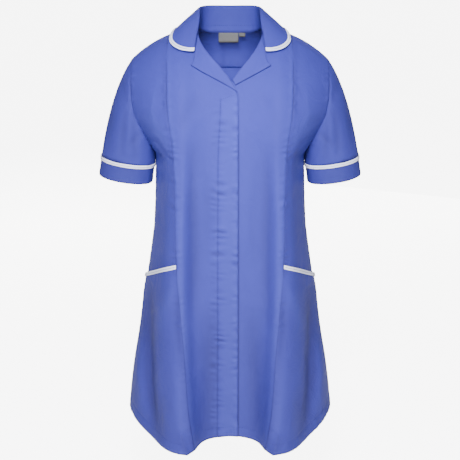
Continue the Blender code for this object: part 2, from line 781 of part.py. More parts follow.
def make_facing(finish):
    """Facing inside the back neck, made from the back's points moved in."""
    cells = []
    walls = {}
    rows = [row for row in ROWS if centre_height(row) > FACING_BOTTOM]
    inset = CLOTH + SEAM_GAP
    for side in (-1, 1):
        panel = back_panel(side)

        def key(i, j):
            centred = j == 0 and back_start(rows[i]) == 0.0
            return (i, 0, 0) if centred else (i, j, side)

        for i, row in enumerate(rows):
            for j in range(FACING_COLUMNS + 1):
                walls[key(i, j)] = panel.walls(row, j / BACK_COLUMNS_HALF, -inset, FACING_CLOTH)
        for i in range(len(rows) - 1):
            for j in range(FACING_COLUMNS):
                cell = (key(i, j), key(i, j + 1), key(i + 1, j + 1), key(i + 1, j))
                cells.append(cell if side > 0 else cell[::-1])
    return shell("back_neck_facing", cells, walls, finish)


def make_label(name, place, finish):
    """A blank label sewn on under the back neck seam, from where it hangs down."""
    columns, rows = 5, 3
    inset = CLOTH + FACING_CLOTH + LABEL_STAND

    def walls_at(i, j):
        x = place["left"] + (place["right"] - place["left"]) * j / (columns - 1)
        share = share_at_x("back", BACK_NECK_ROW, x)
        outer, _ = back_panel(1 if x > 0 else -1).walls(BACK_NECK_ROW, abs(share), -inset)
        fall = place["drop"] * (1 - i / (rows - 1))
        outer = outer + np.array([0.0, LABEL_LEAN * fall - LABEL_FORWARD, LABEL_RAISE - fall])
        return outer, outer - np.array([0.0, LABEL_CLOTH, 0.0])

    return shell(name, grid_cells(rows, columns), grid_walls(rows, columns, walls_at), finish)


def body_at(face, x, height):
    """Point, normal and row of the body at x and a height."""
    low, high = 0.0, 2.0
    for _ in range(22):
        row = (low + high) / 2
        z = body(face, row, share_at_x(face, row, x))[2]
        low, high = (row, high) if z < height else (low, row)
    row = (low + high) / 2
    share = share_at_x(face, row, x)
    return body(face, row, share), body_normal(face, row, share), row


def cuff_ring(side, angle, along):
    """Point of the sleeve end. angle is 0 at the underarm and grows to the front; along goes down."""
    across = np.array([math.cos(CUFF_TILT), 0.0, math.sin(CUFF_TILT)])
    down = np.array([math.sin(CUFF_TILT), 0.0, -math.cos(CUFF_TILT)])
    centre = np.array(CUFF_CENTRE) - down * (CUFF_HEIGHT - along)
    c, s = math.cos(angle), math.sin(angle)
    square = (abs(c) ** CUFF_POWER + abs(s) ** CUFF_POWER) ** (-1 / CUFF_POWER)
    x = -c * square * CUFF_RADII[0]
    y = -s * square * CUFF_RADII[1]
    p = centre + across * x + np.array([0.0, y, CUFF_DROP_FRONT * y / CUFF_RADII[1]])
    return p * (side, 1, 1)


def sleeve_ring_angles():
    """The armhole's points as (row, face) and the sleeve end's angle for each, round the sleeve."""
    upper = [row for row in ROWS if row >= 1]
    front = [(row, "front", (row - 1) * math.pi) for row in upper]
    back = [(row, "back", 2 * math.pi - (row - 1) * math.pi) for row in reversed(upper[1:-1])]
    return front + back


def make_sleeve(side, finish, trim):
    """A set-in sleeve: lines from the armhole to the cuff seam, and its cuff with the braid."""
    end = "right" if side < 0 else "left"
    ring = sleeve_ring_angles()
    steps = len(SLEEVE_STEPS)
    lines = []
    for row, face, angle in ring:
        start = armhole(row, face) * (side, 1, 1)
        finish_point = cuff_ring(side, angle, 0.0)
        reach = np.linalg.norm(finish_point - start)
        leave = sleeve_start(row, face, side) * reach * SLEEVE_LEAVE
        arrive = unit(cuff_ring(side, angle, CUFF_HEIGHT) - finish_point) * reach * SLEEVE_ARRIVE
        line = []
        for t in SLEEVE_STEPS:
            rise = t * t * (3 - 2 * t)
            ends = start * (1 - rise) + finish_point * rise
            line.append(ends + leave * t * (1 - t) ** 2 + arrive * t * t * (t - 1))
        for along in (CUFF_BRAID_WIDTH, CUFF_HEIGHT):
            line.append(cuff_ring(side, angle, along))
        lines.append(line)
    count = len(ring)
    points = np.array(lines)
    normals = np.empty_like(points)
    middle = points.mean(axis=0)
    for j in range(count):
        for i in range(steps + 2):
            if i == 0:
                row, face, _ = ring[j]
                normals[j, i] = armhole_normal(row, face, side)
                continue
            round_way = points[(j + 1) % count, i] - points[j - 1, i]
            down = points[j, min(i + 1, steps + 1)] - points[j, i - 1]
            n = unit(np.cross(round_way, down))
            normals[j, i] = n if n @ (points[j, i] - middle[i]) > 0 else -n
    walls = {(i, j): (points[j, i], points[j, i] - normals[j, i] * CLOTH)
             for i in range(steps + 2) for j in range(count)}
    sleeve = {key: value for key, value in walls.items() if key[0] < steps}
    cuff = {(key[0] - steps + 1, key[1]): value for key, value in walls.items() if key[0] >= steps - 1}
    pull_in(sleeve, [(0, j) for j in range(count)], [(1, j) for j in range(count)])
    pull_in(sleeve, [(steps - 1, j) for j in range(count)], [(steps - 2, j) for j in range(count)])
    pull_in(cuff, [(0, j) for j in range(count)], [(1, j) for j in range(count)])
    shell("sleeve_" + end, grid_cells(steps, count, True), sleeve, finish)
    shell("cuff_" + end, grid_cells(3, count, True), cuff, finish)
    strip_on(cuff, [(0, j) for j in range(count)], [(1, j) for j in range(count)],
             "cuff_braid_" + end, trim, closed=True)


def neck_line():
    """The neck seam on the wearer's left: up the front, over the shoulder, round the back."""
    front_rows = [row for row in ROWS if centre_height(row) > ROLL_TOP + 0.002 and row < 2]
    line = [body_at("front", roll_x(1, ROLL_TOP), ROLL_TOP)[0]]
    line += [body("front", row, front_start(row, 1)) for row in front_rows]
    line += [body("back", row, back_start(row)) for row in reversed(ROWS) if row >= BACK_NECK_ROW]
    return np.array(line)


def even_line(points):
    """Smooth line through the points of half the collar, square to the centre back at its end."""
    last = np.array(points[-1], float)
    mirror = np.array(points[-2], float) * (-1, 1, 1)
    first = 2 * np.array(points[0], float) - np.array(points[1], float)
    line = spline([np.array(p, float) for p in points], first, mirror, 10)
    line[-1] = last
    return resample(line, np.linspace(0, 1, COLLAR_STEPS))


def collar_sections():
    """Cross-sections of half the collar: stand, fold and fall, each a row of midline points."""
    neck = resample(neck_line(), np.linspace(0, 1, COLLAR_STEPS))
    fold = even_line(COLLAR_FOLD)
    edge_points = []
    for face, x, height in COLLAR_EDGE:
        p, n, _ = body_at(face, x, height)
        edge_points.append(p + n * COLLAR_CLEAR)
    edge = even_line(edge_points)
    sections = []
    for i in range(COLLAR_STEPS):
        low = neck[i] + np.array(STAND_SEAT if i < COLLAR_STEPS - 1 else STAND_SEAT_BACK)
        to_low = unit(low - fold[i]) if np.linalg.norm(low - fold[i]) > 1e-5 else unit(edge[i] - fold[i])
        to_edge = unit(edge[i] - fold[i])
        crown = -unit(to_low + to_edge)
        over = edge[i] - low
        over = unit(over - crown * (over @ crown))
        tight, full = COLLAR_FOLD_RADII
        r = tight + (full - tight) * smoothstep(0.0, COLLAR_FOLD_OPENS, i / COLLAR_STEPS)
        stand = [low + (fold[i] - over * r - low) * t for t in STAND_SHARES]
        bend = [fold[i] + r * (math.sin(a) * crown - math.cos(a) * over)
                for a in (math.radians(d) for d in (30, 90, 150))]
        top = fold[i] + over * r
        length = np.linalg.norm(edge[i] - top)
        braid = BRAID_WIDTH / length
        puff = unit(np.cross(np.cross(edge[i] - top, over), edge[i] - top)) * length * FALL_SWELL
        fall = []
        for t in FALL_SHARES + (1 - braid, 1.0):
            fall.append(top + (edge[i] - top) * t + puff * 4 * t * (1 - t))
        sections.append(stand + bend + fall)
    return np.array(sections)


def make_collar(finish, trim):
    """Stand and fall in one folded piece, and the braid round the fall's edge."""
    half = collar_sections()
    other = half[::-1][1:] * (-1, 1, 1)
    points = np.concatenate([half, other])
    rows, columns = points.shape[0], points.shape[1]
    walls = {}
    for i in range(rows):
        for j in range(columns):
            along = points[min(i + 1, rows - 1), j] - points[max(i - 1, 0), j]
            across = points[i, min(j + 1, columns - 1)] - points[i, max(j - 1, 0)]
            n = unit(np.cross(along, across))
            walls[(i, j)] = (points[i, j] + n * COLLAR_CLOTH / 2, points[i, j] - n * COLLAR_CLOTH / 2)
    upward = walls[(rows // 2, columns // 2)]
    if (upward[0] - upward[1])[2] < 0:
        walls = {key: (b, a) for key, (a, b) in walls.items()}
    shell("collar", grid_cells(rows, columns), walls, finish)
    strip_on(walls, [(i, columns - 2) for i in range(rows)], [(i, columns - 1) for i in range(rows)],
             "collar_braid", trim)


def lapel_point(side, down, across):
    """x towards the lapel's own side, and height, of a point of a lapel."""
    edge = np.array(LAPEL_RIGHT if side < 0 else LAPEL_LEFT)
    end = np.array([np.interp(down, edge[:, 0], edge[:, k]) for k in (1, 2)])
    last = LAPEL_ENDS[0] if side < 0 else LAPEL_ENDS[1]
    height = ROLL_TOP + (last - ROLL_TOP) * down
    start = np.array([roll_x(side, height) - ROLL_OVERHANG, height])
    top = np.array([roll_x(side, ROLL_TOP) - ROLL_OVERHANG, ROLL_TOP])
    gorge = np.array([(0.0, *top), *LAPEL_GORGE, (1.0, *edge[0, 1:])])
    bent = np.array([np.interp(across, gorge[:, 0], gorge[:, k]) for k in (1, 2)])
    bent -= top + (edge[0, 1:] - top) * across
    return start + (end - start) * across + bent * (1 - down) ** 3


def make_lapel(side, finish):
    """A revers turned out over the front along the roll line."""
    name = "lapel_right" if side < 0 else "lapel_left"
    walls = {}
    for i in range(LAPEL_STEPS):
        for j, across in enumerate(LAPEL_ACROSS):
            x, height = lapel_point(side, i / (LAPEL_STEPS - 1), across)
            p, n, row = body_at("front", side * x, height)
            clear = LAPEL_CLEAR + (FLY_LIFT * fly_weight(p, row) if side < 0 else 0.0)
            walls[(i, j)] = (p + n * (clear + LAPEL_CLOTH), p + n * clear)
    return shell(name, grid_cells(LAPEL_STEPS, len(LAPEL_ACROSS)), walls, finish)


def main():
    clear_scene()
    cloth = material("polycotton", BLUE, 0.75)
    braid = material("white_braid", WHITE, 0.7)
    label = material("grey_label", GREY, 0.6)
    for side in (-1, 1):
        make_front(side, cloth)
        make_side_front(side, cloth)
        make_pocket(side, cloth, braid)
        make_sleeve(side, cloth, braid)
        make_lapel(side, cloth)
    make_back(cloth)
    make_facing(cloth)
    make_collar(cloth, braid)
    make_label("label", LABEL, label)
    make_label("size_tab", SIZE_TAB, label)


main()
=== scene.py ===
# %% [markdown]
# # A maternity tunic with braid trim
#
# A short-sleeved working top, cut wide over the front and filled out as if worn. Its solids give the
# cut, the hollow form and the large flutes of the skirt. Here each panel gets rounded folds, pulled
# seams, a turned-up hem, stitching and a weave. Lengths are in metres, but for the fold tables.

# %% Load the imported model
import json
import math

import bmesh
import bpy
import numpy as np
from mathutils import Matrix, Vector
from mathutils.bvhtree import BVHTree
from mathutils.kdtree import KDTree

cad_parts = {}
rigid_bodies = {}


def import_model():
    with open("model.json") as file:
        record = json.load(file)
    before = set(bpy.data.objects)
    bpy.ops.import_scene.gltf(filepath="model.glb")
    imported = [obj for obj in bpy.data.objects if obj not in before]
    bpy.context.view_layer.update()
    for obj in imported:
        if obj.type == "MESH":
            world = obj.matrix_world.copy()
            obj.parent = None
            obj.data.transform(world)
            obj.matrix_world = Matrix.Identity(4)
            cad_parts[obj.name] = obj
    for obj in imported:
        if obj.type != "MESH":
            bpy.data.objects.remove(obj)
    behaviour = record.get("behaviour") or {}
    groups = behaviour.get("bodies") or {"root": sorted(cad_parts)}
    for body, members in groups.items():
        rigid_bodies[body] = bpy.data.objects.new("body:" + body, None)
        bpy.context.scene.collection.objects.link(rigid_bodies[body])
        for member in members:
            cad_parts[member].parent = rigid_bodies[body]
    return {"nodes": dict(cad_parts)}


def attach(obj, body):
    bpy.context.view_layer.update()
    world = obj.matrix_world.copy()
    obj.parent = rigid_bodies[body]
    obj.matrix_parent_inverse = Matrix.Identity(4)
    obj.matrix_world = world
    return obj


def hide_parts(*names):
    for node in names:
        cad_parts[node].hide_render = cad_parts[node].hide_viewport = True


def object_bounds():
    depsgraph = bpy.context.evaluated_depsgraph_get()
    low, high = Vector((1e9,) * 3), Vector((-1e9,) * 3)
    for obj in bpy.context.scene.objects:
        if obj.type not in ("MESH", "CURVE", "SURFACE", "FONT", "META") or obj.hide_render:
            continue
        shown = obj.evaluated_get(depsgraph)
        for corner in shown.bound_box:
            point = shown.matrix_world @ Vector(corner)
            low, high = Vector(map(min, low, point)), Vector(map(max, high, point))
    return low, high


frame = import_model()
cad_box = [list(corner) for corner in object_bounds()]
print("nodes", len(frame["nodes"]), "box", [[round(v, 3) for v in corner] for corner in cad_box])

# %% [markdown]
# ## Small helpers
#
# Objects are linked and smoothed, and nodes are added, set and linked, all through the script.

# %% Helpers for objects and nodes
def add_object(name, data):
    made = bpy.data.objects.new(name, data)
    bpy.context.scene.collection.objects.link(made)
    return made


def smooth_faces(data):
    for face in data.polygons:
        face.use_smooth = True


def node(tree, kind, **settings):
    made = tree.nodes.new(kind)
    for key, value in settings.items():
        setattr(made, key, value)
    return made


def feed(socket, taker, name):
    """Link an output to a named input of another node."""
    taker.id_data.links.new(socket, taker.inputs[name])


def settle(taker, values):
    """Set the inputs of a node by their names."""
    for name, value in values.items():
        taker.inputs[name].default_value = value


def math_node(tree, operation, first, second=None, clamp=False):
    made = node(tree, "ShaderNodeMath", operation=operation, use_clamp=clamp)
    for place, value in enumerate((first, second)):
        if value is None:
            continue
        if isinstance(value, (int, float)):
            made.inputs[place].default_value = value
        else:
            tree.links.new(value, made.inputs[place])
    return made.outputs[0]


# %% [markdown]
# ## The camera
#
# The photograph looks slightly down on the tunic from a few steps away, through a long lens. The
# camera could be aimed by a constraint, but a place and a pitch worked out once are easier to read.

# %% Place the camera
CAMERA_HEIGHT = 0.23
CAMERA_DISTANCE = 2.93
CAMERA_PITCH = math.radians(12.26)
LENS_MM = 115.9
SENSOR_MM = 36.0

camera_data = bpy.data.cameras.new("camera")
camera_data.lens = LENS_MM
camera_data.sensor_width = SENSOR_MM
camera = add_object("camera", camera_data)
camera.location = (0.0, -CAMERA_DISTANCE, CAMERA_HEIGHT)
camera.rotation_euler = (math.radians(90) - CAMERA_PITCH, 0.0, 0.0)
bpy.context.scene.camera = camera
print("camera looks down", round(math.degrees(CAMERA_PITCH), 2), "degrees")

# %% [markdown]
# ## The ground
#
# The ground is almost white. It is one sheet that runs back and curves up, so no line shows where
# floor meets wall. Its profile is a row of points that is extruded sideways. The extra white is seen
# by the camera alone, so it doesn't wash out the folds with light from behind.

# %% Make the ground
GROUND_DROP = 0.110
GROUND_REACH = 25.0
GROUND_BACK = 2.6
GROUND_CURVE = 1.6
GROUND_TOP = 5.0
GROUND_STEPS = 12
PAPER_COLOUR = (0.86, 0.86, 0.87, 1)
PAPER_ROUGHNESS = 0.9
PAPER_GLOW = 6.6
WHITE = (1.0, 1.0, 1.0, 1)


def make_ground(height):
    """A floor that curves up behind the tunic."""
    mesh = bmesh.new()
    profile = [(-GROUND_REACH, height), (GROUND_BACK, height)]
    for step in range(1, GROUND_STEPS + 1):
        angle = math.radians(90) * step / GROUND_STEPS
        back = GROUND_BACK + GROUND_CURVE * math.sin(angle)
        profile.append((back, height + GROUND_CURVE * (1 - math.cos(angle))))
    profile.append((GROUND_BACK + GROUND_CURVE, height + GROUND_TOP))
    line = [mesh.verts.new((-GROUND_REACH, y, z)) for y, z in profile]
    edges = [mesh.edges.new(pair) for pair in zip(line, line[1:])]
    grown = bmesh.ops.extrude_edge_only(mesh, edges=edges)["geom"]
    moved = [g for g in grown if isinstance(g, bmesh.types.BMVert)]
    bmesh.ops.translate(mesh, verts=moved, vec=(2 * GROUND_REACH, 0, 0))
    bmesh.ops.recalc_face_normals(mesh, faces=mesh.faces)
    data = bpy.data.meshes.new("ground")
    mesh.to_mesh(data)
    mesh.free()
    smooth_faces(data)
    return add_object("ground", data)


ground = make_ground(cad_box[0][2] - GROUND_DROP)
paper = bpy.data.materials.new("pale_paper")
paper.use_nodes = True
paper_shader = paper.node_tree.nodes["Principled BSDF"]
settle(paper_shader, {
    "Base Color": PAPER_COLOUR, "Roughness": PAPER_ROUGHNESS, "Emission Color": WHITE})
seen_directly = node(paper.node_tree, "ShaderNodeLightPath").outputs["Is Camera Ray"]
glow = math_node(paper.node_tree, "MULTIPLY", seen_directly, PAPER_GLOW)
feed(glow, paper_shader, "Emission Strength")
ground.data.materials.append(paper)
print("ground", len(ground.data.polygons), "faces")

# %% [markdown]
# ## The lamps
#
# Broad lamps give a soft light from the front and above. Three spots add to it: one on the chest,
# one on the lower skirt, and a small one through the neck. Two lamps behind are for the views of the
# back. The shine of a lamp that only grazes the crumpled cloth breaks into specks, so only three of
# the broad lamps leave one.

# %% Hang the lamps
BROAD_BEAM = math.radians(16)
SMALL_BEAM = math.radians(8)
SPOT_BLEND = 1.0
SPOT_SOFT = {"chest": 0.15, "skirt": 0.15, "neck": 0.02}
SHINING_LAMPS = ("second_key", "top", "low_front")
ROOM_LIGHT = 0.22
ROOM_SEEN = 7.5
LAMPS = [
    # name, kind, place, aim, size across in metres or beam in radians, watts, colour
    ("key", "AREA", (-0.20, -1.9, 1.20), (0, 0, -0.12), 0.8, 84.0, (0.94, 0.98, 1.10)),
    ("chest", "SPOT", (-0.15, -2.0, 0.95), (0, -0.10, -0.23), BROAD_BEAM, 325.0, (0.92, 0.98, 1.12)),
    ("second_key", "AREA", (0.20, -2.6, 0.95), (0, 0, -0.20), 1.2, 34.0, (1, 1, 1)),
    ("top", "AREA", (0, 0.3, 2.3), (0, 0, -0.10), 1.8, 5.0, (1.0, 1.0, 0.92)),
    ("low_front", "AREA", (0, -3.0, -0.45), (0, 0, -0.55), 2.0, 26.0, (1.0, 0.90, 0.74)),
    ("skirt", "SPOT", (0, -3.0, -0.30), (0, 0, -0.74), BROAD_BEAM, 215.0, (1.0, 0.93, 0.82)),
    ("neck", "SPOT", (0, -0.75, 0.11), (0, 0.07, -0.066), SMALL_BEAM, 34.0, (1, 1, 1)),
    ("behind_right", "AREA", (-0.7, 2.9, 0.5), (0, 0, -0.40), 1.2, 72.0, (1.0, 0.98, 0.92)),
    ("behind_left", "AREA", (0.8, 2.8, -0.1), (0, 0, -0.40), 1.6, 24.0, (1.0, 0.98, 0.92)),
]
for name, kind, place, aim, size, watts, colour in LAMPS:
    light = bpy.data.lights.new(name, kind)
    if kind == "SPOT":
        light.spot_size = size
        light.spot_blend = SPOT_BLEND
        light.shadow_soft_size = SPOT_SOFT[name]
    else:
        light.size = size
    light.energy = watts
    light.color = colour
    lamp = add_object(name, light)
    lamp.location = place
    lamp.visible_glossy = name in SHINING_LAMPS
    lamp.rotation_euler = (Vector(aim) - Vector(place)).to_track_quat("-Z", "Y").to_euler()

sky = bpy.data.worlds.new("soft_room")
sky.use_nodes = True
room = sky.node_tree.nodes["Background"]
settle(room, {"Color": WHITE})
room_level = node(sky.node_tree, "ShaderNodeMapRange")
settle(room_level, {"To Min": ROOM_LIGHT, "To Max": ROOM_SEEN})
feed(node(sky.node_tree, "ShaderNodeLightPath").outputs["Is Camera Ray"], room_level, "Value")
feed(room_level.outputs["Result"], room, "Strength")
bpy.context.scene.world = sky
print("lamps", len(LAMPS))

# %% [markdown]
# ## Weave, shared by the cloth and the label
#
# The threads cross over and under, with a faint slanting rib. Wave textures would do too, but sines
# keep the warp and the weft in step. The group reads the piece's own UV map, whose unit is a metre
# of cloth, so the threads follow the cut.

# %% Build the weave group
CROSSING_SHARE = 0.35
RIB_SHARE = 0.65


def open_group(name, inputs, outputs):
    """An empty node group with its sockets, and the nodes of its two ends."""
    tree = bpy.data.node_groups.new(name, "ShaderNodeTree")
    for label, kind, value in inputs:
        socket = tree.interface.new_socket(name=label, in_out="INPUT", socket_type="NodeSocket" + kind)
        if value is not None:
            socket.default_value = value
    for label, kind in outputs:
        tree.interface.new_socket(name=label, in_out="OUTPUT", socket_type="NodeSocket" + kind)
    return tree, node(tree, "NodeGroupInput"), node(tree, "NodeGroupOutput")


def build_weave():
    """Crossing threads with a slanting rib: their height, and a mask of the gaps between them."""
    tree, entry, leave = open_group(
        "twill_weave",
        [("Cloth Coordinates", "Vector", None), ("Threads per Metre", "Float", 2000.0)],
        [("Height", "Float"), ("Gaps", "Float")])
    parts = node(tree, "ShaderNodeSeparateXYZ")
    feed(entry.outputs["Cloth Coordinates"], parts, 0)
    turn = math_node(tree, "MULTIPLY", entry.outputs["Threads per Metre"], 2 * math.pi)
    across = math_node(tree, "MULTIPLY", parts.outputs["X"], turn)
    along = math_node(tree, "MULTIPLY", parts.outputs["Y"], turn)
    warp = math_node(tree, "SINE", across)
    half_across = math_node(tree, "MULTIPLY", across, 0.5)
    half_along = math_node(tree, "MULTIPLY", along, 0.5)
    rib = math_node(tree, "SINE", math_node(tree, "ADD", half_across, half_along))
    weft = math_node(tree, "SINE", along)
    crossing = math_node(tree, "MULTIPLY", math_node(tree, "MULTIPLY", warp, weft), CROSSING_SHARE)
    height = math_node(tree, "ADD", crossing, math_node(tree, "MULTIPLY", rib, RIB_SHARE))
    lifted = math_node(tree, "MULTIPLY_ADD", height, 0.5)
    lifted.node.inputs[2].default_value = 0.5
    gaps = math_node(tree, "SUBTRACT", 1.0, lifted, clamp=True)
    feed(lifted, leave, "Height")
    feed(gaps, leave, "Gaps")
    return tree


weave_group = build_weave()
print("weave sockets", [item.name for item in weave_group.interface.items_tree])

# %% [markdown]
# ## Tone, shared by every finish
#
# The colour is painted a little paler where the cloth stands proud, a painted highlight, and deeper
# in a seam and where it is sunk, painted shade. It is also slightly cloudy all over, the cloth's own
# uneven tone. The group mixes three values of one colour: a noise makes the clouds, the `rim`
# attribute holds the distance to the panel's edge, and the `painted_light` attribute says how much
# highlight or shade is painted in, mostly from how far the cloth stands above its surroundings.

# %% Build the tone group
CLOUD_DETAIL = 4.0
CLOUD_ROUGHNESS = 0.6
SEAM_SHARE = 0.75
GAP_SHARE = 0.16
SUNK_GAIN = 1.6
HIGHLIGHT_GAIN = 0.8
ROUGHNESS_SWING = 0.12


def mix(tree, factor, first, second):
    made = node(tree, "ShaderNodeMix", data_type="RGBA")
    for socket, place in ((factor, "Factor"), (first, 6), (second, 7)):
        feed(socket, made, place)
    return made.outputs[2]


def build_tone():
    """Cloudy dye, with painted shade in seams and sunk places and a painted highlight on proud ones.
    """
    tree, entry, leave = open_group(
        "dye_with_painted_shade",
        [("Colour", "Color", (0.2, 0.2, 0.6, 1)), ("Deep Colour", "Color", (0.1, 0.1, 0.4, 1)),
         ("Highlight Colour", "Color", (0.3, 0.3, 0.7, 1)), ("Cloudiness", "Float", 0.3),
         ("Cloud Size", "Float", 14.0), ("Gaps", "Float", 0.5), ("Rim", "Float", 1.0),
         ("Painted_Light", "Float", 0.5), ("Place", "Vector", None)],
        [("Colour", "Color"), ("Roughness Shift", "Float")])
    cloud = node(tree, "ShaderNodeTexNoise")
    settle(cloud, {"Detail": CLOUD_DETAIL, "Roughness": CLOUD_ROUGHNESS})
    feed(entry.outputs["Place"], cloud, "Vector")
    feed(entry.outputs["Cloud Size"], cloud, "Scale")
    cloudy = math_node(tree, "SUBTRACT", cloud.outputs["Fac"], 0.5)
    cloudy = math_node(tree, "MULTIPLY", cloudy, entry.outputs["Cloudiness"])
    # Painted shade near a panel's edge and where the cloth is sunk; the weave's gaps and the clouds
    # deepen the colour too.
    seam = math_node(tree, "SUBTRACT", 1.0, entry.outputs["Rim"], clamp=True)
    sunk = math_node(tree, "SUBTRACT", 0.5, entry.outputs["Painted_Light"])
    sunk = math_node(tree, "MULTIPLY", sunk, SUNK_GAIN, clamp=True)
    gaps = math_node(tree, "MULTIPLY", entry.outputs["Gaps"], GAP_SHARE)
    deep = math_node(tree, "ADD", math_node(tree, "MULTIPLY", seam, SEAM_SHARE), gaps)
    deep = math_node(tree, "ADD", deep, sunk)
    deep = math_node(tree, "ADD", deep, cloudy, clamp=True)
    cloudy_and_shaded = mix(tree, deep, entry.outputs["Colour"], entry.outputs["Deep Colour"])
    # Painted highlight where the painted_light attribute is above one half.
    painted_highlight = math_node(tree, "SUBTRACT", entry.outputs["Painted_Light"], 0.5)
    painted_highlight = math_node(tree, "MULTIPLY", painted_highlight, HIGHLIGHT_GAIN, clamp=True)
    shaded_colour = mix(tree, painted_highlight, cloudy_and_shaded, entry.outputs["Highlight Colour"])
    shift = math_node(tree, "MULTIPLY_ADD", cloud.outputs["Fac"], ROUGHNESS_SWING)
    shift.node.inputs[2].default_value = -ROUGHNESS_SWING / 2
    feed(shaded_colour, leave, "Colour")
    feed(shift, leave, "Roughness Shift")
    return tree


tone_group = build_tone()
print("tone sockets", [item.name for item in tone_group.interface.items_tree])

# %% [markdown]
# ## Finishes
#
# Cloth, braid, label ribbon and threads share one recipe: the tone group colours them, and soft
# crumples with the weave on top feed the bump. The shine is faint and bluish. A plain sheen would do
# for a wool, but here it would turn the blue grey.

# %% Make the finishes
CRUMPLE_SCALE = 24.0
CRUMPLE_DETAIL = 3.0
CRUMPLE_DISTORTION = 0.8
CRUMPLE_DEPTH = 0.0022
CLOTH_THREADS = 1900
WEAVE_STRENGTH = 0.35
SHEEN_ROUGHNESS = 0.5
GLOSS = 0.26
GLOSS_TINT = (0.62, 0.76, 1.0, 1)
FINISH_ROWS = {
    # name: colour, deep colour for painted shade and the clouds, painted highlight colour,
    #       threads per metre, roughness, sheen, weave depth, cloudiness
    "blue_polycotton": (
        (0.0425, 0.0445, 0.2800), (0.026, 0.025, 0.105), (0.075, 0.090, 0.460),
        CLOTH_THREADS, 0.60, 0.03, 0.00012, 0.30),
    "white_braid": (
        (0.85, 0.85, 0.98), (0.25, 0.25, 0.37), (0.93, 0.93, 0.99),
        1100, 0.75, 0.05, 0.00025, 0.10),
    "grey_label": (
        (0.115, 0.112, 0.112), (0.07, 0.07, 0.07), (0.16, 0.16, 0.16),
        2400, 0.60, 0.05, 0.00010, 0.10),
    "blue_thread": (
        (0.024, 0.026, 0.150), (0.014, 0.015, 0.080), (0.070, 0.080, 0.400),
        3000, 0.60, 0.05, 0.00010, 0.10),
    "white_thread": (
        (0.50, 0.51, 0.58), (0.36, 0.38, 0.50), (0.74, 0.75, 0.80),
        3000, 0.60, 0.05, 0.00010, 0.10),
}


def finish_material(name, colour, deep, painted_highlight, threads, roughness, sheen, weave_depth, cloudiness):
    """A cloth finish: soft crumples and the weave feed the bump, the tone group feeds the colour."""
    made = bpy.data.materials.new(name)
    made.use_nodes = True
    tree = made.node_tree
    shader = tree.nodes["Principled BSDF"]
    cloth_map = node(tree, "ShaderNodeUVMap", uv_map="cut")
    place = node(tree, "ShaderNodeTexCoord")
    weave = node(tree, "ShaderNodeGroup", node_tree=weave_group)
    settle(weave, {"Threads per Metre": threads})
    feed(cloth_map.outputs["UV"], weave, "Cloth Coordinates")
    tone = node(tree, "ShaderNodeGroup", node_tree=tone_group)
    settle(tone, {
        "Colour": (*colour, 1), "Deep Colour": (*deep, 1), "Highlight Colour": (*painted_highlight, 1),
        "Cloudiness": cloudiness})
    for label in ("Rim", "Painted_Light"):
        given = node(tree, "ShaderNodeAttribute", attribute_name=label.lower())
        feed(given.outputs["Fac"], tone, label)
    feed(place.outputs["Object"], tone, "Place")
    feed(weave.outputs["Gaps"], tone, "Gaps")
    feed(tone.outputs["Colour"], shader, "Base Color")
    rough = math_node(tree, "ADD", tone.outputs["Roughness Shift"], roughness, clamp=True)
    feed(rough, shader, "Roughness")
    settle(shader, {
        "Sheen Weight": sheen, "Sheen Roughness": SHEEN_ROUGHNESS, "Sheen Tint": (*painted_highlight, 1),
        "Specular IOR Level": GLOSS, "Specular Tint": GLOSS_TINT})
    crumple = node(tree, "ShaderNodeTexNoise")
    settle(crumple, {
        "Scale": CRUMPLE_SCALE, "Detail": CRUMPLE_DETAIL, "Distortion": CRUMPLE_DISTORTION})
    feed(place.outputs["Object"], crumple, "Vector")
    soft = node(tree, "ShaderNodeBump")
    settle(soft, {"Strength": 1.0, "Distance": CRUMPLE_DEPTH * CLOTH_THREADS / threads})
    feed(crumple.outputs["Fac"], soft, "Height")
    bump = node(tree, "ShaderNodeBump")
    settle(bump, {"Strength": WEAVE_STRENGTH, "Distance": weave_depth})
    feed(soft.outputs["Normal"], bump, "Normal")
    feed(weave.outputs["Height"], bump, "Height")
    feed(bump.outputs["Normal"], shader, "Normal")
    return made


materials = {name: finish_material(name, *values) for name, values in FINISH_ROWS.items()}
print("finishes", list(materials))

# %% [markdown]
# ## From solid to cloth
#
# A panel of cloth is the solid's form with a softer skin. The solid's mesh is loose triangles, so
# they are merged and joined into squares, and tall squares are cut in two for the fine puckers. The
# wall's edges are creased, and a Subdivision Surface then rounds the rest. A cloth simulation would
# move the seams, so the folds are listed instead.

# %% Copy, merge and soften a solid
MERGE = 1e-6
JOIN_FLAT = math.radians(40)
JOIN_SQUARE = math.radians(75)
TALL = 0.030
UPRIGHT = 0.7
SHARP = math.radians(48)


